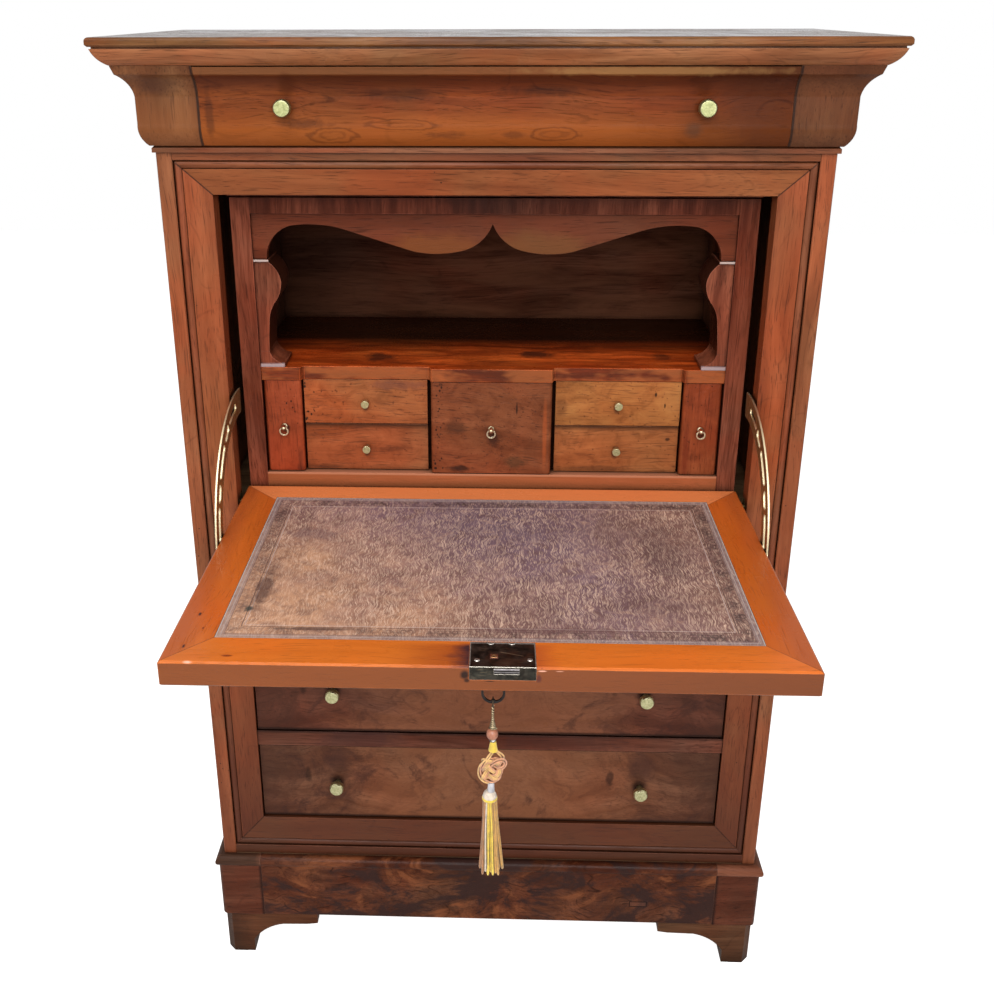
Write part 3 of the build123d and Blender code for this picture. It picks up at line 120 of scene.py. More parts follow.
bpy.context.scene.camera = camera
bpy.context.scene.view_settings.view_transform = "Standard"


# Posts and side panels. Each side of the case is one wide walnut board, and its
# front edge is the post that stands beside the frame. French polished, with the
# arrises rubbed paler and painted with a highlight, and old wax and painted shade
# darkening every quirk.
class Finish:
    """A finish in the making, whose nodes are added one after another. A value is a
    number, a place, a colour or the output of an earlier node."""

    def __init__(self, name):
        self.material = bpy.data.materials.new(name)
        self.material.use_nodes = True
        self.tree = self.material.node_tree
        self.shader = self.tree.nodes["Principled BSDF"]
        place = self.add("TexCoord").outputs
        self.spot, self.facing = place["Object"], place["Normal"]

    def put(self, socket, value):
        if isinstance(value, bpy.types.NodeSocket):
            self.tree.links.new(value, socket)
        elif isinstance(value, tuple) and len(value) == 3 and len(socket.default_value) == 4:
            socket.default_value = (*value, 1)
        else:
            socket.default_value = value

    def add(self, kind, settings=None, inputs=(), **named):
        """A new node, with its settings and with its inputs in order or by name."""
        made = self.tree.nodes.new("ShaderNode" + kind)
        for key, value in (settings or {}).items():
            setattr(made, key, value)
        for socket, value in zip(made.inputs, inputs):
            if value is not None:
                self.put(socket, value)
        for key, value in named.items():
            self.put(made.inputs[key.replace("_", " ")], value)
        return made

    def surface(self, **values):
        """Give the shader its colour, roughness, relief and the like, by the names of its inputs."""
        for key, value in values.items():
            self.put(self.shader.inputs[key.replace("_", " ")], value)

    def sum(self, how, first, second=0.0, third=0.0):
        """One step of reckoning; the commoner ones have names of their own below."""
        return self.add("Math", {"operation": how}, (first, second, third)).outputs[0]

    def plus(self, first, second):
        return self.sum("ADD", first, second)

    def less(self, first, second):
        return self.sum("SUBTRACT", first, second)

    def times(self, first, second):
        return self.sum("MULTIPLY", first, second)

    def scaled(self, first, by, plus):
        return self.sum("MULTIPLY_ADD", first, by, plus)

    def size(self, value):
        return self.sum("ABSOLUTE", value)

    def gap(self, first, second):
        return self.size(self.less(first, second))

    def under(self, value, limit):
        return self.sum("LESS_THAN", value, limit)

    def over(self, value, limit):
        return self.sum("GREATER_THAN", value, limit)

    def least(self, first, second):
        return self.sum("MINIMUM", first, second)

    def most(self, first, second):
        return self.sum("MAXIMUM", first, second)

    def shift(self, how, first, second, third=(0, 0, 0)):
        """Add, take away or scale a place in space."""
        return self.add("VectorMath", {"operation": how}, (first, second, third)).outputs[0]

    def away_from(self, place, reach):
        """The distance from a place, which is 1 where its reach ends."""
        off = self.shift("DIVIDE", self.shift("SUBTRACT", self.spot, place), reach)
        return self.add("VectorMath", {"operation": "LENGTH"}, (off,)).outputs["Value"]

    def at(self, x, y, z):
        return self.add("CombineXYZ", None, (x, y, z)).outputs[0]

    def stretched(self, scale, spot=None, moved=(0, 0, 0), turned=(0, 0, 0)):
        """Space drawn out, moved or turned, so that a pattern laid in it runs that way."""
        return self.add("Mapping", None, (spot or self.spot, moved, turned, scale)).outputs[0]

    def noise(self, spot, scale, detail=3.0, rough=0.55, swirl=0.0):
        """A cloudy value about 0.5."""
        made = self.add("TexNoise", None, (), Scale=scale, Detail=detail, Roughness=rough, Distortion=swirl)
        self.put(made.inputs["Vector"], spot)
        return made.outputs[0]

    def between(self, value, low, high, start=0.0, end=1.0):
        """From start to end while the value goes from low to high, and level outside that."""
        return self.add("MapRange", None, (value, low, high, start, end)).outputs[0]

    def blend(self, share, first, second, how="MIX"):
        """The first colour or place, with that share of the second."""
        return self.add("MixRGB", {"blend_type": how}, (share, first, second)).outputs[0]

    def axis(self, spot=None):
        return self.add("SeparateXYZ", None, (spot or self.spot,)).outputs

    def bumped(self, height, depth, strength=1.0, normal=None):
        """A relief so deep, laid over another one if given."""
        made = self.add("Bump", None, (), Height=height, Distance=depth, Strength=strength)
        if normal is not None:
            self.put(made.inputs["Normal"], normal)
        return made.outputs[0]

    def arrises(self, radius, low, high):
        """The softened normal of the piece, and how near an arris is."""
        eased = self.add("Bevel", {"samples": 4}, (), Radius=radius).outputs[0]
        flat = self.add("NewGeometry").outputs["Normal"]
        facing = self.add("VectorMath", {"operation": "DOT_PRODUCT"}, (eased, flat)).outputs["Value"]
        return eased, self.between(facing, low, high)

    def hollows(self, reach, low=0.85, high=0.25):
        """How deep in a corner or quirk the surface lies."""
        shut = self.add("AmbientOcclusion", {"samples": 5}, (), Distance=reach).outputs["AO"]
        return self.between(shut, low, high)


def finished(name, finish):
    """Give the finish to a node of the model."""
    mesh = nodes[name].data
    mesh.materials.clear()
    mesh.materials.append(finish.material)


def deeper(colour, share):
    """The same colour with less light in it."""
    return tuple(c * share for c in colour)


# A near-black brown, used for old dirt and for painted shade.
dirt_and_shade_dark = (0.016, 0.007, 0.005)


def stain(place, reach, share=0.7, colour=dirt_and_shade_dark, ragged=0.9, grain=40.0):
    """A mark of its own at one place: a stain, a knot, a rubbed patch, a chip or a patch of painted shade."""

    def mark(wood, tone):
        torn = wood.less(wood.noise(wood.spot, grain, 4.0, 0.65, 0.6), 0.5)
        out = wood.scaled(torn, ragged * 2, wood.away_from(place, reach))
        return wood.blend(wood.between(out, 1.0, 0.45, 0.0, share), tone, colour)

    return mark


def shaded(axis, start, end, share, colour=dirt_and_shade_dark, ragged=0.0):
    """A stretch that darkens or pales along one axis, from nothing at the start to its full share."""

    def mark(wood, tone):
        place = wood.axis()["XYZ".index(axis)]
        if ragged:
            place = wood.scaled(wood.noise(wood.spot, 26.0, 4.0, 0.6, 0.6), ragged, place)
        return wood.blend(wood.between(place, start, end, 0.0, share), tone, colour)

    return mark


def walnut(name, along, colour, seed=0.0, streak=34.0, depth=1.0, gloss=0.3, burr=0.0, matched=False,
           veins=0.25, wear_and_highlight=0.35, worm=0.0, turn=None, marks=(), polish=1.0):
    """Polished walnut: figure along the grain, open pores, old wax and painted shade in the
    quirks, arrises rubbed paler and painted with a highlight. Where turn gives another axis
    and the place of it, the grain runs that way there."""
    dark = tuple(c * (1 - depth * s) for c, s in zip(colour, (0.56, 0.64, 0.68)))
    light = tuple(c * (1 + depth * s) for c, s in zip(colour, (0.46, 0.66, 0.84)))
    wood = Finish(name)
    spot = wood.spot
    x, y, z = wood.axis()
    if matched:
        spot = wood.at(wood.size(x), y, z)
    if turn:
        other, place = turn
        swapped = dict(zip("XYZ", (x, y, z)))
        swapped[along], swapped[other] = swapped[other], swapped[along]
        spot = wood.blend(place(wood), spot, wood.at(*swapped.values()))
    spot = wood.shift("ADD", spot, (seed, seed * 1.7, seed * 2.3))
    sway = wood.add("TexNoise", None, (), Vector=spot, Scale=2.6 + burr * 7, Detail=2.0 + burr * 2)
    away = wood.shift("MULTIPLY_ADD", sway.outputs[1], (0.05 + burr * 0.16,) * 3, spot)

    def drawn_out(share):
        """Space stretched along the grain, so that what is laid in it runs lengthwise."""
        return wood.stretched(tuple(share if letter == along else 1 for letter in "XYZ"), away)

    lines = wood.noise(drawn_out(0.09), streak, 4.0, 0.6, 0.3 + burr * 2.0)
    tone = wood.blend(wood.between(lines, 0.34, 0.66), dark, light)
    rings = wood.add("TexWave", {"bands_direction": "DIAGONAL"}, (), Vector=drawn_out(0.09),
                     Scale=streak * 0.42, Distortion=4.0, Detail=3.0, Detail_Scale=1.3, Detail_Roughness=0.6)
    tone = wood.blend(wood.between(rings.outputs[1], 0.30, 0.0, 0.0, depth * 0.20), tone, dark)
    threads = wood.noise(drawn_out(0.03), 330.0, 3.0, 0.6)
    tone = wood.blend(wood.between(threads, 0.46, 0.62, 0.0, depth * 0.5), tone, dark)
    patch = wood.noise(away, 5.0, 3.0, 0.6, 0.4)
    tint = wood.blend(wood.between(patch, 0.36, 0.64), (1.12, 0.86, 0.74), (0.96, 1.16, 1.22))
    tone = wood.blend(0.8, tone, tint, "MULTIPLY")
    if burr:
        knotty = wood.noise(wood.stretched((1, 1, 0.55), away), 11.0, 5.0, 0.68, 1.6)
        tone = wood.blend(wood.between(knotty, 0.50, 0.66, 0.0, burr), tone, deeper(dark, 0.34))
        swirls = wood.noise(away, 46.0, 4.0, 0.65, 2.2)
        tone = wood.blend(wood.between(swirls, 0.52, 0.72, 0.0, burr * 0.65), tone, deeper(dark, 0.5))
    hills = wood.noise(drawn_out(0.28), 9.0, 2.0, 0.5, 0.3)
    outline = wood.sum("PINGPONG", wood.times(hills, 16.0), 0.5)
    broken = wood.between(wood.noise(spot, 38.0), 0.42, 0.58, 0.0, veins)
    tone = wood.blend(wood.times(wood.between(outline, 0.07, 0.02), broken), tone, deeper(dark, 0.45))
    pores = wood.noise(drawn_out(0.03), 720.0, 2.0, 0.5)
    open_pores = wood.between(pores, 0.58, 0.68)
    tone = wood.blend(wood.times(open_pores, 0.55), tone, deeper(dark, 0.2))
    if worm:
        holes = wood.add("TexVoronoi", None, (), Vector=spot, Scale=85.0)
        rare = wood.between(wood.noise(spot, 9.0), 0.60 - worm * 0.1, 0.62)
        hole = wood.between(holes.outputs["Distance"], 0.10, 0.07)
        tone = wood.blend(wood.times(hole, rare), tone, (0.012, 0.006, 0.004))
    for mark in marks:
        tone = mark(wood, tone)
    eased, arris = wood.arrises(0.0016, 0.985, 0.90)
    # Pale arrises: rubbed wear together with a painted highlight.
    rubbed_and_highlit = wood.times(arris, wood.between(wood.noise(spot, 23.0), 0.40, 0.62, 0.2, 1.0))
    pale = tuple(min(1, c * 1.5 + 0.02) for c in light)
    tone = wood.blend(wood.times(rubbed_and_highlit, wear_and_highlight), tone, pale)
    # Darker quirks: old wax, and painted shade where the corners lie deep.
    wax_and_painted_shade = wood.hollows(0.016)
    tone = wood.blend(wood.times(wax_and_painted_shade, 0.88), tone, deeper(dark, 0.10))
    smear = wood.noise(spot, 14.0, 4.0, 0.6)
    rough = wood.between(smear, 0.3, 0.7, gloss - 0.06, gloss + 0.12)
    soft = wood.bumped(wood.noise(spot, 3.5, 2.0), 0.0016, 0.5, eased)
    height = wood.scaled(open_pores, -1.0, lines)
    wood.surface(Base_Color=tone, Roughness=wood.plus(rough, wood.times(open_pores, 0.25)),
                 Specular_IOR_Level=0.11 * polish, Coat_Weight=0.05 * polish, Coat_Roughness=0.12,
                 Normal=wood.bumped(height, 0.00018, 0.7, soft))
    return wood


case_colour = (0.262, 0.076, 0.029)
# The sides are painted darker towards the floor as shade.
finished("side_panels", walnut("walnut of the sides", "Z", case_colour, 0.0, depth=0.6, wear_and_highlight=0.5, worm=0.3,
                               marks=(shaded("Z", 0.60, 0.18, 0.45, (0.090, 0.026, 0.014)),)))


# Front frame. Half-round reeds and broad bevelled members are mitred at the four
# corners and glued to a ground; a hairline of old glue shows in each mitre.
frame_middle_z, frame_half_z, frame_half_x = 0.73275, 0.52375, 0.3925


def into_the_frame(wood):
    """How far a place of the front frame is from its side and from its nearer end."""
    x, _, z = wood.axis()
    rise = wood.gap(z, frame_middle_z)
    return wood.less(frame_half_x, wood.size(x)), wood.less(frame_half_z, rise)


def cross_members(wood):
    """The top and bottom members, whose grain lies across."""
    from_side, from_end = into_the_frame(wood)
    return wood.under(from_end, from_side)


def mitre_hairline(wood, tone):
    """Dark lines through the corners of the front frame."""
    from_side, from_end = into_the_frame(wood)
    apart = wood.gap(from_side, from_end)
    return wood.blend(wood.between(apart, 0.0016, 0.0006, 0.0, 0.9), tone, (0.018, 0.007, 0.004))


def inner_streaks(wood, tone):
    """Dark veins along the inner edge of the side bevels, and painted shade darker low down, under the fall.
    """
    from_side, from_end = into_the_frame(wood)
    veins = wood.noise(wood.stretched((1, 1, 0.06)), 75.0, 4.0, 0.65, 0.5)
    near = wood.between(wood.scaled(veins, 0.05, from_side), 0.058, 0.094)
    near = wood.times(near, wood.under(from_side, from_end))
    tone = wood.blend(wood.times(near, 0.65), tone, (0.070, 0.014, 0.007))
    tone = wood.blend(cross_members(wood), tone, wood.blend(1.0, tone, (0.90, 0.97, 0.86), "MULTIPLY"))
    # Painted shade: darker low down, under the fall.
    return wood.blend(wood.between(wood.axis()[2], 0.62, 0.24, 0.0, 0.74), tone, (0.054, 0.018, 0.011))


mitred = dict(turn=("X", cross_members))
finished("frame_reeds", walnut("walnut of the reeds", "Z", (0.178, 0.050, 0.021), 1.3, streak=60, depth=0.5,
                               wear_and_highlight=0.8, marks=(mitre_hairline, inner_streaks), **mitred))
finished("frame_bevels", walnut("walnut of the bevels", "Z", (0.246, 0.063, 0.022), 2.1, streak=42,
                                depth=0.45, wear_and_highlight=0.4, worm=0.7, marks=(inner_streaks, mitre_hairline),
                                **mitred))


# Cornice. A slab with a rounded nose sits on a quarter-round and an ogee, all
# glued up in lengths and mitred at the corners. Its top carries a cooler sheen,
# painted on as pale grey patches of reflection.
mitre_line, cornice_drawer_half, cornice_y = 0.4315, 0.3512, -0.01


def round_the_corner(wood):
    """The returns along the sides, past the mitre."""
    x, y, _ = wood.axis()
    return wood.over(wood.plus(wood.size(x), y), mitre_line)


def stains_and_shade_marks(front, depth, *marks):
    """Stains and marks of painted shade on an upright front: each with its place across
    and up, its reach across and up, and then what a stain takes after these."""
    return [stain((x, front, z), (wide, depth, high), *look) for x, z, wide, high, *look in marks]


def painted_light_and_joints_of_ogee(wood, tone):
    """Painted shade darkening the length at the right, a painted highlight low on the left, and old wax in
    the joints at both ends of the drawer.
    """
    x, _, z = wood.axis()
    # Painted shade darkens the right-hand length, away from the light.
    tone = wood.blend(wood.between(x, 0.10, 0.36, 0.0, 0.55), tone, (0.050, 0.015, 0.006))
    # Painted highlight low on the left-hand length.
    low = wood.times(wood.between(z, 1.345, 1.300), wood.between(x, 0.0, -0.1))
    tone = wood.blend(wood.times(low, 0.45), tone, (0.200, 0.068, 0.020))
    apart = wood.gap(wood.size(x), cornice_drawer_half)
    return wood.blend(wood.between(apart, 0.0024, 0.0006, 0.0, 0.9), tone, (0.014, 0.006, 0.004))


def dark_top_with_painted_sheen(wood, tone):
    """The flat top is dark under its dust and polish, with pale grey patches of painted reflection."""
    up = wood.between(wood.axis(wood.facing)[2], 0.90, 0.98)
    tone = wood.blend(wood.times(up, 0.85), tone, (0.050, 0.026, 0.018))
    # Painted reflection: cool pale patches on the upward faces.
    bare = wood.between(wood.noise(wood.spot, 9.0, 5.0, 0.65, 0.8), 0.50, 0.62)
    return wood.blend(wood.times(wood.times(up, bare), 0.9), tone, (0.300, 0.290, 0.310))


returns = dict(turn=("Y", round_the_corner))
finished("top_slab", walnut("walnut of the slab", "X", (0.146, 0.053, 0.016), 3.3, depth=0.7, wear_and_highlight=0.9,
                            gloss=0.24, marks=(dark_top_with_painted_sheen,), **returns))
finished("cornice_moulding", walnut("walnut of the ovolo", "X", (0.272, 0.097, 0.038), 4.2, streak=60,
                                    depth=0.6, wear_and_highlight=0.6, **returns))
finished("cornice_ogee", walnut(
    "walnut of the ogee", "Z", (0.140, 0.046, 0.016), 5.6, streak=26, depth=0.7, veins=0.1, wear_and_highlight=0.3,
    marks=(painted_light_and_joints_of_ogee,
           *stains_and_shade_marks(cornice_y, 0.05, (-0.40, 1.345, 0.035, 0.016, 0.55, (0.060, 0.022, 0.012), 0.5)))))
finished("cornice_floor", walnut("walnut of the necking", "X", (0.165, 0.052, 0.022), 6.1, depth=0.6,
                                 wear_and_highlight=0.5, **returns))


def painted_light_on_drawer_ogee(wood, tone):
    """Painted light on the ogee of the drawer: the lower half is painted bright orange as lit, the upper half
    and the cove darker as shade, and the fillet with a pale highlight.
    """
    z = wood.axis()[2]
    # Painted light on the lower half, painted shade above it and in the cove, and a painted highlight on the
    # fillet.
    ragged = wood.scaled(wood.noise(wood.stretched((0.2, 1, 1)), 22.0, 4.0, 0.6), 0.030, z)
    low = wood.between(ragged, 1.336, 1.312)
    tone = wood.blend(wood.times(low, 0.62), tone, (0.275, 0.072, 0.013))
    top = wood.between(ragged, 1.338, 1.356, 0.0, 0.35)
    tone = wood.blend(top, tone, (0.095, 0.022, 0.009))
    cove = wood.times(wood.between(z, 1.336, 1.352), wood.between(z, 1.3575, 1.3560))
    tone = wood.blend(wood.times(cove, 0.6), tone, (0.050, 0.013, 0.007))
    fillet = wood.between(z, 1.3572, 1.3580)
    return wood.blend(wood.times(fillet, 0.6), tone, (0.190, 0.078, 0.030))


def outlined(place, reach):
    """A small knot: a thin dark ragged ring with a fainter one inside it."""

    def mark(wood, tone):
        torn = wood.less(wood.noise(wood.stretched((0.5, 1, 1)), 55.0, 3.0, 0.6, 0.5), 0.5)
        out = wood.scaled(torn, 1.3, wood.away_from(place, reach))
        for size, share in ((1.0, 0.42), (0.55, 0.25)):
            ring = wood.between(wood.gap(out, size), 0.16, 0.03, 0.0, share)
            tone = wood.blend(ring, tone, (0.045, 0.012, 0.004))
        return tone

    return mark


knots = [outlined((x, cornice_y, z), (wide, 0.05, high)) for x, z, wide, high in (
    (-0.190, 1.288, 0.026, 0.0085), (0.072, 1.289, 0.030, 0.0085), (-0.108, 1.300, 0.046, 0.0060))]
# The dark marks above and below the two knobs are painted shade of the knobs.
stains_and_knob_shade = stains_and_shade_marks(
    cornice_y, 0.05,
    (-0.243, 1.345, 0.014, 0.018, 0.60, (0.060, 0.014, 0.006), 0.3), (-0.225, 1.302, 0.035, 0.008, 0.45),
    (-0.120, 1.335, 0.090, 0.009, 0.45), (0.060, 1.338, 0.060, 0.008, 0.50),
    (0.243, 1.348, 0.016, 0.016, 0.65, (0.060, 0.014, 0.006), 0.3),
    (0.236, 1.294, 0.014, 0.012, 0.55, (0.050, 0.026, 0.016), 0.3),
    (0.300, 1.315, 0.050, 0.040, 0.45, (0.075, 0.020, 0.008)), (-0.060, 1.288, 0.028, 0.006, 0.40),
    (0.025, 1.289, 0.018, 0.005, 0.35), (0.180, 1.362, 0.170, 0.006, 0.55, (0.300, 0.150, 0.052)),
    (-0.338, 1.310, 0.006, 0.040, 0.45))
finished("cornice_drawer_front", walnut(
    "veneer of the cornice drawer", "X", (0.165, 0.038, 0.0084), 7.7, streak=24, burr=0.1, depth=0.8,
    veins=0.7, wear_and_highlight=0.3, polish=0.6,
    # Painted shade darkens the right end of the drawer front.
    marks=(painted_light_on_drawer_ogee, shaded("X", 0.17, 0.34, 0.72, (0.036, 0.0070, 0.002), 0.06), *knots, *stains_and_knob_shade)))

# Base. The half-round, the plinth blocks and the bracket feet are darker than the
# case, the half-round and the feet darker still at the left end and the feet towards
# the floor, with the corners rubbed bright and painted with a highlight in places.
plinth_drawer_half, patch_x, patch_z = 0.3545, 0.236, 0.117
finished("base_moulding", walnut("walnut of the half-round", "X", (0.170, 0.068, 0.038), 8.4, depth=0.7,
                                 wear_and_highlight=0.6, gloss=0.34, polish=0.5,
                                 marks=(shaded("X", -0.335, -0.350, 0.75, (0.022, 0.014, 0.009), 0.02),),
                                 **returns))


def plinth_joints(wood, tone):
    """Wax in the joints between the blocks and the drawer."""
    apart = wood.gap(wood.size(wood.axis()[0]), plinth_drawer_half)
    return wood.blend(wood.between(apart, 0.0045, 0.0006, 0.0, 0.85), tone, (0.012, 0.005, 0.004))


finished("plinth_frame", walnut("walnut of the plinth", "X", (0.092, 0.028, 0.014), 9.2, burr=0.1, depth=0.7,
                                wear_and_highlight=0.6, polish=0.6, marks=(plinth_joints,), **returns))


def let_in_patch(wood, tone):
    """A small piece of new veneer let in at the right, with its glue line."""
    x, _, z = wood.axis()
    wide = wood.less(wood.gap(x, patch_x), 0.013)
    high = wood.less(wood.gap(z, patch_z), 0.0045)
    edge = wood.most(wide, high)
    inside = wood.between(edge, 0.0, -0.0004, 0.0, 0.35)
    tone = wood.blend(inside, tone, (0.150, 0.060, 0.038))
    return wood.blend(wood.between(wood.size(edge), 0.0011, 0.0004, 0.0, 0.9), tone, (0.01, 0.005, 0.004))


def smoky(wood, tone):
    """Smoke-dark clouds with torn edges, leaning to one side."""
    slant = wood.stretched((0.8, 1, 1.3), moved=(3.1, 0, 0.7), turned=(0, 0.6, 0))
    cloud = wood.noise(slant, 8.5, 6.0, 0.68, 1.0)
    tone = wood.blend(wood.between(cloud, 0.48, 0.55, 0.0, 0.88), tone, (0.030, 0.014, 0.012))
    return wood.blend(wood.between(cloud, 0.45, 0.37, 0.0, 0.72), tone, (0.225, 0.070, 0.026))


finished("plinth_drawer_front", walnut(
    "burr of the plinth drawer", "X", (0.112, 0.035, 0.016), 10.9, streak=16, burr=0.45, depth=0.9, veins=0.9,
    wear_and_highlight=0.5, polish=0.6, marks=(smoky, let_in_patch)))
finished("bracket_feet", walnut(
    "walnut of the feet", "X", (0.098, 0.036, 0.016), 11.3, depth=0.7, wear_and_highlight=0.7, polish=0.5,
    marks=(shaded("X", -0.372, -0.402, 0.6, (0.026, 0.014, 0.009)),
           shaded("Z", 0.05, 0.0, 0.5, (0.040, 0.020, 0.010))), **returns))

# Back, dust boards, runners and drawer boxes. Plain oak and pine, waxed at the
# most, dusty brown with age and never seen when all is shut.
plain_colour = (0.225, 0.118, 0.057)
for name, along, seed in (("back_panel", "Z", 12.0), ("dust_boards", "X", 13.0),
                          ("drawer_runners", "Y", 14.0)):
    finished(name, walnut("plain wood of " + name.replace("_", " "), along, plain_colour, seed, gloss=0.6,
                          depth=0.6, wear_and_highlight=0.1, worm=0.4))
for name in ("cornice_drawer", "upper_drawer", "middle_drawer", "lower_drawer", "plinth_drawer"):
    finished(name + "_box", walnut("oak of the " + name.replace("_", " "), "Y", plain_colour, len(name) * 1.7,
                                   depth=0.6, gloss=0.6, wear_and_highlight=0.1))

# Long drawers. Walnut crotch veneer, cut from one flitch and matched about the
# middle, so dark feathers fall to both sides of a pale centre.
knob_x, long_drawer_y = 0.230, 0.036
finished("case_rails", walnut(
    "walnut of the rails", "X", (0.130, 0.040, 0.022), 15.5, depth=0.8, wear_and_highlight=0.6, polish=0.6,
    # Painted shade along the top of the rail, in the gap under the middle drawer.
    marks=(shaded("Z", 0.4070, 0.4115, 0.92),
           *stains_and_shade_marks(0.03, 0.2, (-0.200, 0.4, 0.080, 0.05, 0.5, (0.050, 0.018, 0.016)),
                      (0.110, 0.4, 0.120, 0.05, 0.4, (0.050, 0.018, 0.014))))))


def feathered(wood, tone):
    """Plumes of the crotch: pale in the middle, dark towards the ends of the front."""
    x, _, z = wood.axis()
    out = wood.size(x)
    ragged = wood.noise(wood.stretched((1, 1, 1.6)), 8.0, 5.0, 0.66, 1.4)
    reach = wood.scaled(ragged, 0.30, out)
    tone = wood.blend(wood.between(reach, 0.40, 0.26, 0.0, 0.60), tone, (0.250, 0.090, 0.040))
    plume = wood.scaled(z, 0.75, wood.scaled(ragged, 0.20, out))
    barbs = wood.noise(wood.at(plume, 0.0, wood.times(z, 0.12)), 60.0, 4.0, 0.65)
    tone = wood.blend(wood.between(barbs, 0.45, 0.68, 0.0, 0.4), tone, (0.070, 0.024, 0.014))
    tone = wood.blend(wood.between(reach, 0.33, 0.50, 0.0, 0.72), tone, (0.046, 0.017, 0.011))
    low = wood.noise(wood.spot, 13.0, 6.0, 0.68, 1.2)
    return wood.blend(wood.between(low, 0.54, 0.66, 0.0, 0.6), tone, (0.036, 0.014, 0.011))


def knob_shade_and_dirt(level):
    """Painted shade and dirt round the roots of the two knobs of a long drawer, with a darker patch of
    painted shade above.
    """
    marks = []
    for x in (-knob_x, knob_x):
        marks += stains_and_shade_marks(long_drawer_y, 0.05,
                           (x - 0.002, level + 0.002, 0.013, 0.013, 0.80, (0.014, 0.006, 0.005), 0.3),
                           (x, level + 0.035, 0.024, 0.036, 0.56, (0.045, 0.018, 0.014), 0.5),
                           (x - 0.045, level + 0.012, 0.006, 0.018, 0.64, dirt_and_shade_dark, 1.1))
    return marks


for name, seed, colour, foot, knob_z in (
    ("upper_drawer", 16.3, (0.150, 0.055, 0.028), 0.585, 0.658),
    ("middle_drawer", 17.9, (0.165, 0.055, 0.031), 0.413, 0.4848),
    ("lower_drawer", 19.4, (0.175, 0.068, 0.034), 0.254, 0.3193),
):
    finished(name + "_front", walnut(
        "crotch veneer of the " + name.replace("_", " "), "X", colour, seed, streak=18, burr=0.35, depth=0.8,
        matched=True, wear_and_highlight=0.4, polish=0.6,
        # The foot of each front is painted dark as the shade in the gap below it.
        marks=(feathered, *knob_shade_and_dirt(knob_z), shaded("Z", foot + 0.0060, foot + 0.0020, 0.92))))


# Inner case. The same walnut, less faded by light: a framed face, the scalloped
# frieze between two consoles, a breakfront shelf and a dark niche behind.
between_stiles, bottom_rail_z, top_rail_z = 0.3148, 0.90, 1.10


def lower_inner_rail(wood):
    """The bottom rail, whose grain lies across; the top rail is veneered upright."""
    x, _, z = wood.axis()
    return wood.times(wood.under(wood.size(x), between_stiles), wood.under(z, bottom_rail_z))


def framed(wood, tone):
    """The top rail is dark, with upright veins and a painted shadow in the middle; the bottom rail is painted
    bright as lit from above and by light off the fall, with a painted highlight along its top edge.
    """
    x, _, z = wood.axis()
    top = wood.times(wood.under(wood.size(x), between_stiles), wood.over(z, top_rail_z))
    veins = wood.noise(wood.stretched((1, 1, 0.1)), 60.0, 4.0, 0.6, 0.4)
    tone = wood.blend(wood.times(top, wood.between(veins, 0.40, 0.60, 0.35, 0.9)), tone,
                      (0.050, 0.0095, 0.0035))
    # Painted shadow in the middle of the top rail.
    centre = wood.between(wood.size(wood.plus(x, 0.01)), 0.10, 0.0)
    tone = wood.blend(wood.times(wood.times(top, centre), 0.6), tone, (0.016, 0.006, 0.004))
    # The bottom rail is painted bright as lit, with a painted highlight along its top edge.
    low = lower_inner_rail(wood)
    tone = wood.blend(wood.times(low, 0.6), tone, (0.370, 0.113, 0.039))
    lit = wood.times(low, wood.between(z, 0.8140, 0.8152))
    return wood.blend(wood.times(lit, 0.6), tone, (0.480, 0.210, 0.120))


finished("inner_face_frame", walnut("walnut of the inner frame", "Z", (0.176, 0.041, 0.019), 20.7, wear_and_highlight=0.6,
                                    turn=("X", lower_inner_rail), marks=(framed,), polish=0.6))
finished("niche_frieze", walnut(
    "walnut of the frieze", "X", (0.118, 0.030, 0.013), 22.2, streak=20, depth=0.55, wear_and_highlight=0.6, veins=0.1,
    polish=0.6, marks=stains_and_shade_marks(0.09, 0.1, (-0.075, 1.135, 0.075, 0.028, 0.65, (0.180, 0.056, 0.016), 0.4),
                                (0.060, 1.135, 0.085, 0.030, 0.60, (0.150, 0.060, 0.019), 0.4))))


def painted_light_on_consoles(wood, tone):
    """The caps and the fronts of the base blocks are painted pale as a highlight, and the faces that do not
    face the front, above the base, are painted dark as shade.
    """
    _, y, z = wood.axis()
    # Painted highlight on the caps and on the fronts of the base blocks.
    cap = wood.times(wood.over(z, 1.1172), wood.under(y, 0.0830))
    tone = wood.blend(wood.times(cap, 0.8), tone, (0.52, 0.44, 0.40))
    base = wood.times(wood.under(z, 0.9775), wood.under(y, 0.0860))
    tone = wood.blend(wood.times(base, 0.7), tone, (0.40, 0.33, 0.34))
    # Painted shade on the faces that do not face the front.
    facing = wood.axis(wood.facing)
    painted_shade_sides = wood.times(wood.between(wood.size(facing[1]), 0.7, 0.4), wood.between(z, 0.985, 0.995))
    return wood.blend(wood.times(painted_shade_sides, 0.88), tone, (0.016, 0.004, 0.002))


finished("consoles", walnut("walnut of the consoles", "Z", (0.190, 0.048, 0.022), 23.8, wear_and_highlight=0.9,
                            marks=(painted_light_on_consoles,)))


break_corner, shelf_z = 0.2605, 0.972


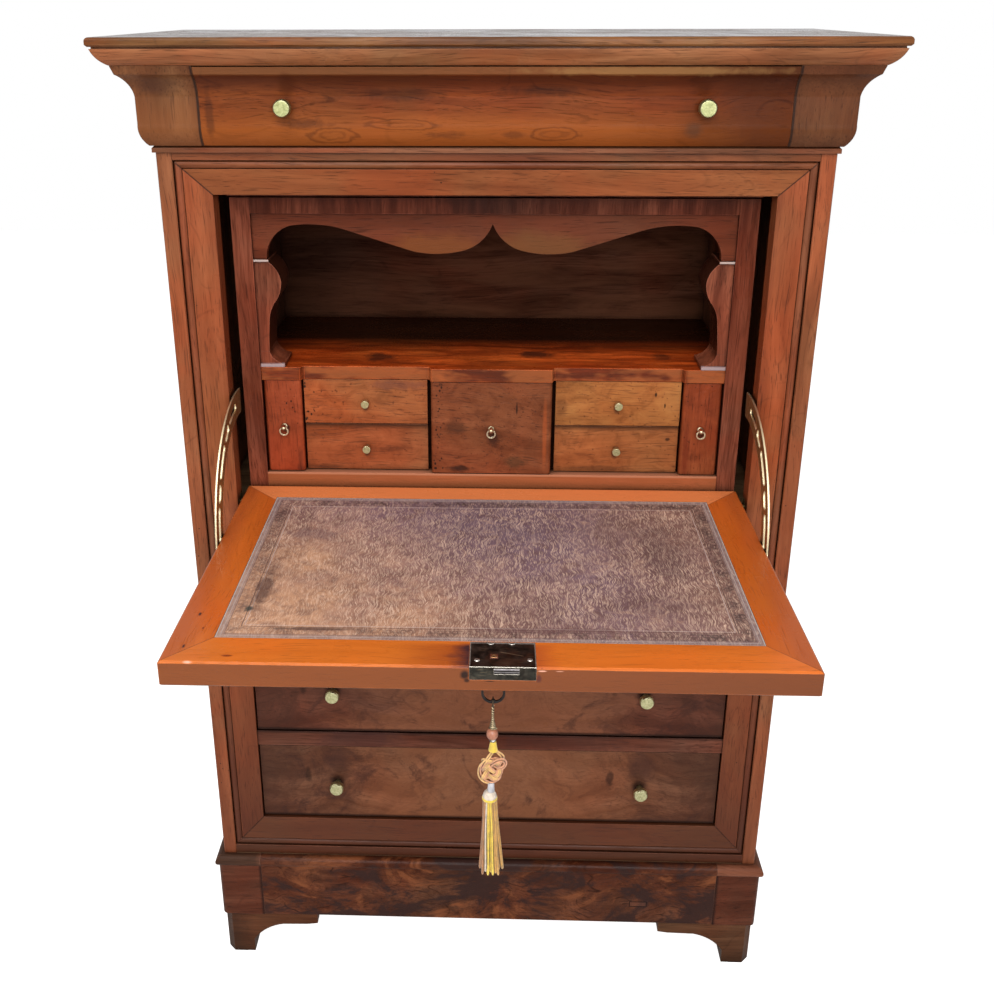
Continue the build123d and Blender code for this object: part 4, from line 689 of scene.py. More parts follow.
def shelf_edge(wood, tone):
    """Diagonal veins on the top, a paler front edge with dark runs, and a painted shadow over the back of the
    shelf.
    """
    x, y, _ = wood.axis()
    slant = wood.stretched((0.12, 1, 1), turned=(0, 0, 0.7))
    veins = wood.noise(slant, 40.0, 4.0, 0.65, 0.8)
    tone = wood.blend(wood.between(veins, 0.48, 0.66, 0.0, 0.65), tone, (0.075, 0.012, 0.004))
    front = wood.between(wood.axis(wood.facing)[2], 0.6, 0.4)
    runs = wood.noise(wood.stretched((0.3, 1, 1)), 45.0, 3.0, 0.6)
    edge = wood.blend(wood.between(runs, 0.46, 0.60), (0.270, 0.086, 0.030), (0.060, 0.020, 0.012))
    corner = wood.between(wood.gap(wood.size(x), break_corner), 0.006, 0.001)
    edge = wood.blend(wood.times(corner, 0.85), edge, (0.020, 0.007, 0.004))
    tone = wood.blend(wood.times(front, 0.75), tone, edge)
    # Painted shadow over the back of the shelf.
    return wood.blend(wood.between(y, 0.155, 0.225, 0.0, 0.97), tone, (0.010, 0.003, 0.001))


finished("inner_shelf", walnut(
    "walnut of the shelf", "X", (0.450, 0.064, 0.009), 24.9, burr=0.2, wear_and_highlight=0.8, gloss=0.25, polish=0.6,
    marks=(shelf_edge, stain((-0.155, 0.13, shelf_z), (0.028, 0.022, 0.1), 0.75),
           stain((0.060, 0.15, shelf_z), (0.030, 0.020, 0.1), 0.75),
           stain((0.235, 0.14, shelf_z), (0.018, 0.018, 0.1), 0.6))))


def niche_shade(wood, tone):
    """Slanting figure on the niche's back, darker towards the left, and painted shade low down where the back
    meets the shelf.
    """
    x, _, z = wood.axis()
    slant = wood.stretched((0.15, 1, 1), turned=(0, 0.5, 0))
    veins = wood.noise(slant, 30.0, 4.0, 0.65, 0.8)
    tone = wood.blend(wood.between(veins, 0.42, 0.62, 0.0, 0.5), tone, (0.135, 0.050, 0.025))
    tone = wood.blend(wood.between(x, -0.10, -0.26, 0.0, 0.5), tone, (0.012, 0.003, 0.002))
    # Painted shade low on the back, where it meets the shelf.
    return wood.blend(wood.between(z, 1.06, 0.98, 0.0, 0.20), tone, (0.020, 0.010, 0.004))


finished("inner_case", walnut("walnut of the niche", "X", (0.075, 0.024, 0.012), 26.1, streak=30, gloss=0.5,
                              polish=0.15, marks=(niche_shade,)))


# Small drawers of the inner case. Veneered fronts: redder plain wood on the
# narrow ones, pale figured wood on the pairs, a dark burr in the middle.
def worm_rows(edge, low=0.80, high=0.96, size=1.0):
    """Rows of worm holes up and down beside one edge of a front."""

    def mark(wood, tone):
        x, _, z = wood.axis()
        holes = wood.add("TexVoronoi", None, (), Vector=wood.stretched((1, 0, 0.7)), Scale=190.0)
        near = wood.between(wood.gap(x, edge), 0.0095, 0.0070)
        near = wood.times(near, wood.times(wood.over(z, low), wood.under(z, high)))
        hole = wood.between(holes.outputs["Distance"], 0.36 * size, 0.24 * size)
        kept = wood.between(wood.noise(wood.spot, 60.0), 0.42, 0.47)
        share = wood.times(wood.times(hole, near), kept)
        return wood.blend(share, tone, (0.020, 0.008, 0.005))

    return mark


def mottled(scale, share):
    """Soft cloudy figure, darker and paler by turns, with small flecks."""

    def mark(wood, tone):
        moved = wood.shift("MULTIPLY_ADD", wood.spot, (0.7, 1, 1), (scale, 1.3, 2.9))
        cloud = wood.noise(moved, scale, 5.0, 0.66, 1.0)
        darker = wood.blend(1.0, tone, (0.50, 0.42, 0.40), "MULTIPLY")
        tone = wood.blend(wood.between(cloud, 0.50, 0.64, 0.0, share), tone, darker)
        paler = wood.blend(1.0, tone, (1.30, 1.45, 1.50), "MULTIPLY")
        tone = wood.blend(wood.between(cloud, 0.46, 0.34, 0.0, share), tone, paler)
        flecks = wood.noise(wood.spot, 240.0, 2.0)
        return wood.blend(wood.between(flecks, 0.66, 0.72, 0.0, 0.7), tone, (0.060, 0.014, 0.006))

    return mark


def under_the_knob(name):
    """A painted shadow, with dirt of handling, in a dark ring under one small knob."""
    (left, _, low), (right, back, _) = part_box(name)
    return stain(((left + right) / 2 - 0.0010, back, low - 0.0022), (0.0055, 0.02, 0.0085), 0.75,
                 (0.050, 0.016, 0.008), 0.2)


# Painted shadow cast by the upper drawers over the top of the lower ones.
upper_drawer_shadow = shaded("Z", 0.8790, 0.8858, 0.88, (0.036, 0.012, 0.005))
for name, along, colour, seed, burr, marks in (
    ("left_narrow", "Z", (0.278, 0.043, 0.014), 27.4, 0.0,
     (worm_rows(-0.2795, 0.893, 0.930, 0.7),
      *stains_and_shade_marks(0.08, 0.1, (-0.285, 0.884, 0.006, 0.008, 0.8), (-0.268, 0.83, 0.005, 0.03, 0.4)))),
    ("right_narrow", "Z", (0.214, 0.044, 0.014), 28.8, 0.0,
     stains_and_shade_marks(0.08, 0.1, (0.289, 0.880, 0.005, 0.008, 0.7),
               (0.270, 0.85, 0.005, 0.05, 0.5, (0.120, 0.016, 0.006)))),
    ("left_upper", "X", (0.318, 0.092, 0.030), 29.3, 0.08,
     (worm_rows(-0.251), under_the_knob("left_upper_knob"),
      *stains_and_shade_marks(0.09, 0.1, (-0.13, 0.945, 0.05, 0.008, 0.45, (0.10, 0.035, 0.03))))),
    ("left_lower", "X", (0.240, 0.068, 0.024), 30.6, 0.08,
     (under_the_knob("left_lower_knob"), upper_drawer_shadow,
      *stains_and_shade_marks(0.09, 0.1, (-0.23, 0.822, 0.03, 0.006, 0.45), (-0.14, 0.85, 0.03, 0.005, 0.35)))),
    ("right_upper", "X", (0.340, 0.106, 0.028), 31.9, 0.08,
     (under_the_knob("right_upper_knob"),
      *stains_and_shade_marks(0.09, 0.1, (0.097, 0.915, 0.010, 0.02, 0.45, (0.10, 0.03, 0.01)),
                 (0.225, 0.934, 0.002, 0.004, 0.9), (0.238, 0.918, 0.0015, 0.004, 0.8)))),
    ("right_lower", "X", (0.285, 0.086, 0.026), 33.5, 0.08,
     (under_the_knob("right_lower_knob"), upper_drawer_shadow,
      *stains_and_shade_marks(0.09, 0.1, (0.245, 0.868, 0.004, 0.003, 0.8), (0.15, 0.823, 0.05, 0.005, 0.4)))),
    ("centre", "X", (0.190, 0.047, 0.017), 34.7, 0.22,
     (worm_rows(-0.075, size=0.8),
      *stains_and_shade_marks(0.08, 0.1, (-0.042, 0.826, 0.022, 0.006, 0.8), (-0.050, 0.888, 0.016, 0.012, 0.5),
                 (0.002, 0.870, 0.010, 0.012, 0.6), (0.034, 0.835, 0.018, 0.010, 0.5, (0.030, 0.022, 0.010)),
                 (0.035, 0.915, 0.0016, 0.010, 0.8), (0.074, 0.88, 0.004, 0.06, 0.4, (0.42, 0.085, 0.02),
                                                      0.3)))),
):
    figure = mottled(38.0 if along == "X" else 22.0, 0.5)
    finished(name + "_drawer", walnut("veneer of " + name.replace("_", " "), along, colour, seed, streak=30,
                                      burr=burr, depth=0.45, worm=0.6, wear_and_highlight=0.8, veins=0.12,
                                      marks=(figure, *marks)))

# Fall. Four mitred walnut members round a panel; its inner side has faded to a
# bright orange, darkened by hands on both sides of the lock.
(_, fall_front, _), (fall_right, fall_back, _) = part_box("fall_frame")


def into_the_fall(wood):
    """How far a place of the fall is from its side and from its nearer long edge."""
    x, y, _ = wood.axis()
    from_long = wood.least(wood.less(y, fall_front), wood.less(fall_back, y))
    return wood.less(fall_right, wood.size(x)), from_long


def long_members(wood):
    """The front and back members, whose grain lies across."""
    from_side, from_long = into_the_fall(wood)
    return wood.under(from_long, from_side)


def faded_members(wood, tone):
    """Each member has a tone of its own, with a fine line in the mitres. The outer side of
    the fall, in the shade under it while it is open, has kept its browner colour."""
    x, y, z = wood.axis()
    from_side, from_long = into_the_fall(wood)
    upward = wood.axis(wood.facing)[2]
    facing_up, facing_down = wood.between(upward, 0.3, 0.8), wood.between(upward, -0.3, -0.8)
    outside = wood.blend(1.0, tone, (0.29, 0.42, 1.10), "MULTIPLY")
    sides = wood.under(from_side, from_long)
    ends = wood.less(1.0, sides)
    outer = wood.times(sides, wood.between(from_side, 0.030, 0.012))
    tone = wood.blend(wood.times(sides, 0.50), tone, (0.430, 0.080, 0.007))
    tone = wood.blend(wood.times(outer, 0.65), tone, (0.380, 0.080, 0.018))
    far = wood.times(wood.between(y, -0.02, 0.03), ends)
    tone = wood.blend(wood.times(far, 0.85), tone, (0.720, 0.215, 0.070))
    near = wood.times(wood.between(y, -0.30, -0.325), ends)
    tone = wood.blend(wood.times(near, 0.5), tone, (0.640, 0.155, 0.016))
    apart = wood.gap(from_side, from_long)
    tone = wood.blend(wood.between(apart, 0.0012, 0.0003, 0.0, 0.6), tone, (0.13, 0.030, 0.010))
    brown = wood.blend(wood.between(x, -0.1, 0.25), (0.150, 0.047, 0.019), (0.112, 0.039, 0.019))
    edges = wood.blend(0.88, tone, brown)
    tone = wood.blend(facing_down, wood.blend(facing_up, edges, tone), outside)
    under = wood.times(wood.between(z, 0.7712, 0.7695), wood.less(1.0, facing_down))
    return wood.blend(wood.times(under, 0.8), tone, (0.110, 0.034, 0.016))


def handled(wood, tone):
    """The dark stain of hands and old polish beside the lock."""
    x, y, _ = wood.axis()
    torn = wood.less(wood.noise(wood.stretched((0.4, 1, 1)), 34.0, 4.0, 0.65), 0.5)
    facing_up = wood.between(wood.axis(wood.facing)[2], 0.3, 0.8)
    front = wood.times(wood.between(y, -0.326, -0.334), facing_up)
    left = wood.scaled(torn, 0.055, wood.less(-0.019, x))
    front_left = wood.times(front, wood.under(x, 0.0155))
    glow = wood.times(wood.between(left, 0.085, 0.010), front_left)
    tone = wood.blend(wood.times(glow, 0.75), tone, (0.240, 0.040, 0.012))
    burnt = wood.times(wood.between(left, 0.024, 0.003), front_left)
    tone = wood.blend(wood.times(burnt, 0.95), tone, (0.040, 0.018, 0.022))
    beside = wood.scaled(torn, 0.03, wood.less(x, 0.050))
    front_right = wood.times(front, wood.over(x, 0.0155))
    warm = wood.times(wood.between(beside, 0.024, 0.002), front_right)
    return wood.blend(wood.times(warm, 0.6), tone, (0.330, 0.045, 0.016))


chipped = (0.78, 0.40, 0.28)
finished("fall_frame", walnut(
    "faded walnut of the fall", "Y", (0.560, 0.128, 0.020), 36.2, streak=30, depth=0.4, wear_and_highlight=0.55, worm=0.5,
    gloss=0.26, turn=("X", long_members),
    marks=(faded_members, handled,
           stain((-0.3225, -0.3425, 0.799), (0.0018, 0.0050, 0.01), 1.0, (0.04, 0.008, 0.006), 0.2),
           stain((-0.3217, -0.2771, 0.799), (0.0020, 0.0045, 0.01), 1.0, (0.04, 0.008, 0.006), 0.2),
           stain((-0.3110, -0.3060, 0.799), (0.0012, 0.0030, 0.01), 0.8, (0.08, 0.012, 0.008), 0.2),
           stain((-0.2733, -0.3593, 0.799), (0.0070, 0.0022, 0.01), 0.8, (0.14, 0.018, 0.008), 0.6),
           stain((-0.0235, -0.3725, 0.789), (0.0062, 0.01, 0.007), 0.95, (0.020, 0.010, 0.008), 0.4),
           stain((-0.0215, -0.3725, 0.7825), (0.0040, 0.01, 0.0035), 0.90, (0.030, 0.012, 0.008), 0.4),
           stain((0.0025, -0.3725, 0.7822), (0.0070, 0.01, 0.0016), 0.85, (0.040, 0.014, 0.008), 0.3),
           stain((0.0525, -0.3725, 0.786), (0.0034, 0.01, 0.006), 0.7, (0.070, 0.018, 0.020), 0.4),
           stain((-0.3110, -0.3725, 0.799), (0.0065, 0.0028, 0.0024), 1.0, chipped, 0.15),
           stain((0.0560, -0.3725, 0.795), (0.0055, 0.003, 0.0011), 0.9, chipped, 0.15),
           stain((0.0740, -0.3725, 0.795), (0.0050, 0.003, 0.0008), 0.5, chipped, 0.15)),
))
finished("fall_panel", walnut("walnut of the fall's panel", "X", (0.232, 0.064, 0.026), 37.5, burr=0.5))

# Writing leather. One hide let in flush and glued, tooled with a blind border. It
# has worn tan at the front left; the violet grey further back and the bluish patch
# in the middle are a painted reflection of the ceiling light.
hide = Finish("tooled leather")
(_, hide_front, _), (hide_right, hide_back, _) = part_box("writing_leather")
x, y, _ = hide.axis()
from_side = hide.less(hide_right, hide.size(x))
from_long = hide.least(hide.less(y, hide_front), hide.less(hide_back, y))
margin = hide.least(from_side, from_long)
blotch = hide.noise(hide.spot, 7.0, 6.0, 0.66, 0.6)
leftward = hide.scaled(x, -1.00, hide.times(y, -0.95))
tan_share = hide.between(hide.scaled(blotch, 0.75, leftward), 0.46, 0.84)
# The violet grey where the tan gives out is a painted reflection of the ceiling light.
tone = hide.blend(tan_share, (0.218, 0.130, 0.155), (0.570, 0.300, 0.175))
rightward = hide.between(hide.scaled(blotch, 0.3, x), 0.26, 0.42, 0.0, 0.65)
tone = hide.blend(rightward, tone, (0.285, 0.140, 0.078))
dusky = hide.between(hide.noise(hide.spot, 4.5, 6.0, 0.68, 0.8), 0.48, 0.62)
tone = hide.blend(hide.times(dusky, 0.55), tone, (0.105, 0.052, 0.056))
# A bluish painted reflection in the middle of the hide.
bluish_reflection = hide.times(hide.between(hide.size(x), 0.17, 0.04), hide.between(y, -0.22, -0.06))
bluish_reflection = hide.times(bluish_reflection, hide.between(blotch, 0.36, 0.60, 0.25, 0.70))
tone = hide.blend(bluish_reflection, tone, (0.135, 0.092, 0.135))
mottle = hide.noise(hide.spot, 42.0, 6.0, 0.72, 0.8)
tone = hide.blend(hide.between(mottle, 0.36, 0.54, 0.55, 0.0), tone, (0.130, 0.062, 0.048))
tone = hide.blend(hide.between(mottle, 0.54, 0.70, 0.0, 0.40), tone, (0.620, 0.370, 0.240))
grain = hide.add("TexVoronoi", {"feature": "DISTANCE_TO_EDGE"}, (), Vector=hide.spot, Scale=520.0)
pebble = hide.between(grain.outputs["Distance"], 0.0, 0.14)
tone = hide.blend(hide.between(pebble, 1.0, 0.0, 0.0, 0.25), tone, (0.100, 0.050, 0.035))
# Fine scuffs lie over each other in seven directions, bent a little by the curl.
curl = hide.add("TexNoise", None, (), Vector=hide.spot, Scale=42.0, Detail=2.0)
curled = hide.shift("MULTIPLY_ADD", curl.outputs[1], (0.016, 0.016, 0.0), hide.spot)
scuffs = None
for turn, seed, wide, long, kept in (
    (0.15, 3.0, 760, 0.11, 0.66), (0.8, 8.0, 640, 0.11, 0.72), (1.45, 14.0, 760, 0.11, 0.66),
    (2.1, 21.0, 680, 0.11, 0.72), (2.7, 33.0, 600, 0.11, 0.72), (1.62, 47.0, 330, 0.075, 0.88),
    (0.55, 61.0, 330, 0.075, 0.90),
):
    laid = hide.stretched((wide, wide * long, 1), curled, (seed, seed, 0), (0, 0, turn))
    hairs = hide.add("TexVoronoi", {"voronoi_dimensions": "2D"}, (), Vector=laid, Scale=1.0)
    thin = hide.between(hairs.outputs["Distance"], 0.42, 0.16)
    chance, strength, _ = hide.axis(hairs.outputs["Color"])
    hair = hide.times(thin, hide.over(chance, kept))
    hair = hide.times(hair, hide.between(strength, 0.0, 1.0, 0.25, 1.0))
    scuffs = hair if scuffs is None else hide.most(scuffs, hair)
worn = hide.between(hide.noise(hide.spot, 11.0, 4.0, 0.6), 0.34, 0.60, 0.35, 0.95)
tone = hide.blend(hide.times(scuffs, worn), tone, hide.blend(0.70, tone, (0.900, 0.620, 0.460)))
# The blind border is an outer strip, a stamped scallop of two rows, and fillets.
strip = hide.between(margin, 0.0095, 0.0080)
dirt = hide.between(hide.noise(hide.spot, 95.0, 5.0, 0.72, 0.5), 0.38, 0.62)
tone = hide.blend(hide.times(strip, 0.50), tone, hide.blend(dirt, (0.190, 0.140, 0.150),
                                                            (0.330, 0.245, 0.235)))
run = hide.blend(hide.under(from_side, from_long), hide.at(x, 0.0, 0.0), hide.at(y, 0.0, 0.0))
scallop_half = 0.0040
step = hide.sum("PINGPONG", hide.axis(run)[0], scallop_half)


def stamped_row(along, inset, radius):
    """One row of stamped arcs, so far in from the edge of the hide."""
    rise = hide.less(margin, inset)
    ring = hide.sum("SQRT", hide.plus(hide.times(along, along), hide.times(rise, rise)))
    return hide.between(hide.gap(ring, radius), 0.0013, 0.0005)


scallop = hide.most(stamped_row(step, 0.0125, 0.0034), stamped_row(hide.less(scallop_half, step), 0.0185,
                                                                   0.0028))
band = hide.times(hide.between(margin, 0.0092, 0.0100), hide.between(margin, 0.0228, 0.0218))
sooty = hide.times(hide.between(hide.noise(hide.spot, 34.0, 6.0, 0.74, 0.8), 0.42, 0.60, 0.12, 1.0),
                   hide.between(tan_share, 0.0, 1.0, 1.0, 0.55))
stamped = hide.times(hide.times(band, scallop), sooty)
ground = hide.times(hide.times(band, sooty), 0.55)
tone = hide.blend(ground, tone, (0.100, 0.056, 0.054))
tone = hide.blend(hide.times(stamped, 0.70), tone, (0.045, 0.026, 0.024))
for inset, width, share, colour in (
    (0.0006, 0.0009, 0.75, (0.560, 0.500, 0.470)), (0.0052, 0.0006, 0.60, (0.470, 0.400, 0.370)),
    (0.0086, 0.0007, 0.60, (0.070, 0.045, 0.042)), (0.0240, 0.0010, 0.70, (0.080, 0.045, 0.040)),
    (0.0272, 0.0008, 0.65, (0.540, 0.410, 0.370)),
):
    fillet = hide.between(hide.gap(margin, inset), width, width * 0.4, 0.0, share)
    tone = hide.blend(fillet, tone, colour)
for place, reach, share, colour in (
    ((-0.262, -0.215), (0.012, 0.060), 0.75, (0.060, 0.026, 0.024)),
    ((-0.270, -0.262), (0.006, 0.008), 0.90, (0.035, 0.040, 0.036)),
    ((-0.225, -0.075), (0.045, 0.022), 0.45, (0.110, 0.060, 0.075)),
    ((0.215, -0.120), (0.030, 0.090), 0.45, (0.095, 0.050, 0.050)),
    ((0.065, -0.300), (0.130, 0.008), 0.55, (0.120, 0.055, 0.055)),
    ((-0.190, -0.3035), (0.060, 0.004), 0.70, (0.050, 0.024, 0.022)),
):
    tone = stain((*place, 0.798), (*reach, 0.05), share, colour, 0.8, 60.0)(hide, tone)
relief = hide.scaled(scuffs, -0.3, hide.scaled(stamped, -1.0, hide.times(pebble, 0.35)))
hide.surface(Base_Color=tone, Roughness=hide.between(blotch, 0.3, 0.7, 0.42, 0.60), Specular_IOR_Level=0.30,
             Normal=hide.bumped(relief, 0.0005, 0.8))
finished("writing_leather", hide)


# Brass. Stays, pivots, turned knobs, rings and the escutcheon: cast or sheet
# brass, lacquered once, now olive in the hollows and bright where it is rubbed,
# with a highlight painted on the arrises.
def aged_brass(name, bright=(0.62, 0.47, 0.20), dull=(0.30, 0.235, 0.105), rough=0.30,
               rubbed_and_highlit=(0.86, 0.72, 0.40), radius=0.0007, share=0.8, cloudy=140.0):
    """Bright and dull by clouds, spotted, rubbed pale and painted with a highlight on the arrises, and dark
    in the hollows.
    """
    brass = Finish(name)
    cloud = brass.noise(brass.spot, cloudy, 4.0, 0.6, 0.4)
    tone = brass.blend(brass.between(cloud, 0.36, 0.66), bright, dull)
    spots = brass.noise(brass.spot, 520.0, 3.0, 0.6)
    tone = brass.blend(brass.between(spots, 0.58, 0.70, 0.0, 0.5), tone, deeper(dull, 0.35))
    eased, arris = brass.arrises(radius, 0.98, 0.86)
    # Pale arrises: rubbed wear together with a painted highlight.
    tone = brass.blend(brass.times(arris, share), tone, rubbed_and_highlit)
    tone = brass.blend(brass.times(brass.hollows(0.006), 0.8), tone, (0.05, 0.035, 0.015))
    brass.surface(Base_Color=tone, Metallic=1.0, Normal=brass.bumped(cloud, 0.0001, 0.5, eased),
                  Roughness=brass.between(cloud, 0.3, 0.7, rough - 0.06, rough + 0.14))
    return brass


stay = aged_brass("brass of the stays", (0.44, 0.34, 0.16), (0.24, 0.18, 0.08), 0.38, (1.0, 0.92, 0.68),
                  0.0014, 1.0)
stay_tone = stay.shader.inputs["Base Color"].links[0].from_socket
# The sawn edge faces are painted pale as a glint.
painted_edge_glint = stay.between(stay.size(stay.axis(stay.facing)[0]), 0.7, 0.4, 0.0, 0.95)
stay.surface(Base_Color=stay.blend(painted_edge_glint, stay_tone, (0.82, 0.69, 0.44)))
finished("quadrant_stays", stay)
stay_brass = aged_brass("sheet brass", (0.42, 0.31, 0.13), (0.24, 0.18, 0.08), 0.36)
for name in ("pivot_plates", "escutcheon", "lock_keeper"):
    finished(name, stay_brass)
knob_brass = aged_brass("turned brass", (0.66, 0.63, 0.36), (0.40, 0.39, 0.19), 0.32, (0.86, 0.83, 0.58),
                        cloudy=260.0)
for name in ("upper_drawer_knobs", "middle_drawer_knobs", "lower_drawer_knobs", "left_upper_knob",
             "left_lower_knob", "right_upper_knob", "right_lower_knob"):
    finished(name, knob_brass)
# A darker copy of the turned brass, painted in shade, for the knobs of the cornice drawer.
shaded_brass = aged_brass("turned brass of the cornice", (0.42, 0.42, 0.21), (0.22, 0.23, 0.10), 0.34,
                          (0.66, 0.64, 0.42), radius=0.0012, cloudy=260.0)
finished("cornice_drawer_knobs", shaded_brass)
ring_brass = aged_brass("brass of the rings", (0.82, 0.72, 0.50), (0.52, 0.42, 0.24),
                        rubbed_and_highlit=(0.98, 0.90, 0.70))


# Stays. Two quadrants of sheet brass, sawn out with their arms and pierced with
# long and oval slots, turn with the fall on its centre pivots. A stud riveted
# near the top of each runs in the case and stops the fall.
pivot_y, pivot_z = 0.0535, 0.7840
quadrant_outer, quadrant_inner, quadrant_top = 0.1630, 0.1300, math.radians(84.5)
arm_half, sheet, sheet_middle = 0.0075, 0.0022, 0.3440
slot_line, long_half, oval_half, pivot_hole = 0.1470, 0.0045, 0.0060, 0.0036


def on_arc(radius, angle, middle=(0.0, 0.0)):
    return middle[0] + radius * math.cos(angle), middle[1] + radius * math.sin(angle)


def sweep(radius, start, end, middle=(0.0, 0.0), steps=24):
    """Places along an arc, about the pivot if no other middle is given."""
    return [on_arc(radius, start + (end - start) * step / steps, middle) for step in range(steps + 1)]


def slot(half, start, turn):
    """A slot with round ends that follows the quadrant."""
    start, end = math.radians(start), math.radians(start + turn)
    return (sweep(slot_line + half, start, end)
            + sweep(half, end, end + math.pi, on_arc(slot_line, end), 10)[1:-1]
            + sweep(slot_line - half, end, start)
            + sweep(half, start + math.pi, start + 2 * math.pi, on_arc(slot_line, start), 10)[1:-1])


def sawn(name, loops, thick):
    """Sheet metal sawn to the first loop and pierced by the others."""
    line = bpy.data.curves.new(name, "CURVE")
    line.dimensions, line.fill_mode, line.extrude = "2D", "BOTH", thick / 2
    for loop in loops:
        run = line.splines.new("POLY")
        run.points.add(len(loop) - 1)
        for point, spot in zip(run.points, loop):
            point.co = (*spot, 0, 1)
        run.use_cyclic_u = True
    return bpy.data.meshes.new_from_object(bpy.data.objects.new(name, line))


def lathed(name, places, profile, axis, finish, sides=28, ribs=0, rib_depth=0.0, twist=0.0):
    """A turned piece at each place, from a profile of radius and height along an axis."""
    points, faces = [], []
    for place in places:
        rows = []
        for radius, height in profile:
            row = []
            for step in range(sides if radius else 1):
                angle = 2 * math.pi * step / sides + twist
                wide = radius + rib_depth * math.cos(ribs * angle)
                across, along = wide * math.cos(angle), wide * math.sin(angle)
                local = {"X": (height, across, along), "Y": (across, height, -along),
                         "Z": (across, along, height)}[axis]
                row.append(len(points))
                points.append(Vector(place) + Vector(local))
            rows.append(row)
        for low, high in zip(rows, rows[1:]):
            for step in range(sides):
                after = (step + 1) % sides
                ring = [low[step % len(low)], low[after % len(low)], high[after % len(high)],
                        high[step % len(high)]]
                faces.append(list(dict.fromkeys(ring)))
    mesh = bpy.data.meshes.new(name)
    mesh.from_pydata(points, [], faces)
    mesh.polygons.foreach_set("use_smooth", [True] * len(mesh.polygons))
    mesh.materials.append(finish.material)
    piece = bpy.data.objects.new(name, mesh)
    bpy.context.scene.collection.objects.link(piece)
    return piece


quadrant = (sweep(arm_half, 1.5 * math.pi, 0.5 * math.pi, (-quadrant_outer, 0.0))
            + sweep(quadrant_outer, math.pi - math.asin(arm_half / quadrant_outer), quadrant_top, steps=60)
            + sweep(quadrant_inner, quadrant_top, math.pi - math.asin(arm_half / quadrant_inner), steps=60)
            + sweep(arm_half, 0.5 * math.pi, -0.5 * math.pi))
pierced = [sweep(pivot_hole, 0, 2 * math.pi)[:-1]]
pierced += [slot(long_half, start, turn) for start, turn in ((97.0, 13.0), (128.0, 15.0), (160.3, 14.2))]
pierced += [slot(oval_half, start, turn) for start, turn in ((116.0, 5.5), (149.5, 4.5))]
stud_profile = ((0, 0), (0.0030, 0), (0.0030, 0.0050), (0.0022, 0.0058), (0, 0.0060))
for name, hand in (("left", -1), ("right", 1)):
    plate = sawn("quadrant_stay_" + name, [quadrant] + pierced, sheet)
    plate.transform(Matrix(((0, 0, 1, hand * sheet_middle), (1, 0, 0, pivot_y), (0, 1, 0, pivot_z),
                            (0, 0, 0, 1))))
    plate.materials.clear()
    plate.materials.append(stay.material)
    plate = bpy.data.objects.new("quadrant_stay_" + name, plate)
    bpy.context.scene.collection.objects.link(plate)
    stud = lathed("stay_stud_" + name, [(hand * (sheet_middle + sheet / 2), 0.0634, 0.9372)],
                  [(radius, hand * height) for radius, height in stud_profile], "X", stay_brass, 20)
    for piece in (plate, stud):
        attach(piece, "fall")
    if name == "left":
        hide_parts("quadrant_stays")


# Ring bosses. The three rings hang in small turned brass bosses, screwed through
# the drawer fronts; each boss has a round head and a thin rose behind it.
boss_profile = (
    (0, -0.0036), (0.0018, -0.0034), (0.0029, -0.0024), (0.0035, -0.0008), (0.0035, 0.0008), (0.0031, 0.0020),
    (0.0026, 0.0030), (0.0026, 0.0048), (0.0038, 0.0052), (0.0043, 0.0058), (0.0043, 0.0066), (0, 0.0066),
)
for name, x, eye in (("left_narrow", -0.28775, 0.0770), ("centre", 0.0, 0.0735),
                     ("right_narrow", 0.28775, 0.0770)):
    finished(name + "_ring", ring_brass)
    boss = lathed(name + "_ring_boss", [(x, eye, 0.8852)], boss_profile, "Y", ring_brass)
    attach(boss, name + "_drawer")

# Lock. A steel case let into the front edge of the fall. Its cover plate has gone
# brown black and is scratched and bright along the edges; the bolt fills the slot.
(lock_left, lock_front, _), (lock_right, lock_back, lock_top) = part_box("lock_case")
steel = Finish("dark steel")
x, y, z = steel.axis()
cloud = steel.noise(steel.spot, 90.0, 5.0, 0.65, 0.5)
rusty = steel.noise(steel.spot, 48.0, 4.0, 0.6, 0.8)
tone = steel.blend(steel.between(cloud, 0.35, 0.65), (0.016, 0.011, 0.009), (0.070, 0.044, 0.034))
tone = steel.blend(steel.between(rusty, 0.50, 0.66, 0.0, 0.6), tone, (0.110, 0.040, 0.022))
selvedge = steel.between(y, lock_front + 0.0008, lock_front + 0.0003)
bare = steel.blend(steel.between(cloud, 0.40, 0.62), (0.018, 0.018, 0.014), (0.062, 0.062, 0.048))
tone = steel.blend(steel.times(selvedge, 0.8), tone, bare)
wavy = steel.scaled(steel.noise(steel.spot, 210.0, 2.0), 0.0016, -0.0006)
from_side = steel.least(steel.less(x, lock_left), steel.less(lock_right, x))
from_back = steel.plus(steel.less(lock_back - 0.0022, y), wavy)
upper = steel.between(z, lock_top - 0.0012, lock_top - 0.0006)
rim = steel.times(steel.between(steel.least(from_side, from_back), 0.0013, 0.0006), upper)
tone = steel.blend(steel.times(rim, 0.75), tone, (0.560, 0.520, 0.480))
slanting = steel.scaled(steel.less(x, 0.0126), 0.2875, y)
hair = steel.between(steel.size(steel.plus(slanting, 0.3442)), 0.0008, 0.0003)
hair = steel.times(hair, steel.times(steel.between(x, 0.0120, 0.0140), steel.between(x, 0.0380, 0.0350)))
tone = steel.blend(steel.times(steel.times(hair, upper), 0.8), tone, (0.360, 0.240, 0.150))
scored = steel.noise(steel.stretched((0.08, 1, 1), turned=(0, 0, 0.5)), 900.0, 2.0)
tone = steel.blend(steel.between(scored, 0.62, 0.70, 0.0, 0.35), tone, (0.300, 0.220, 0.130))
eased, arris = steel.arrises(0.0011, 0.985, 0.88)
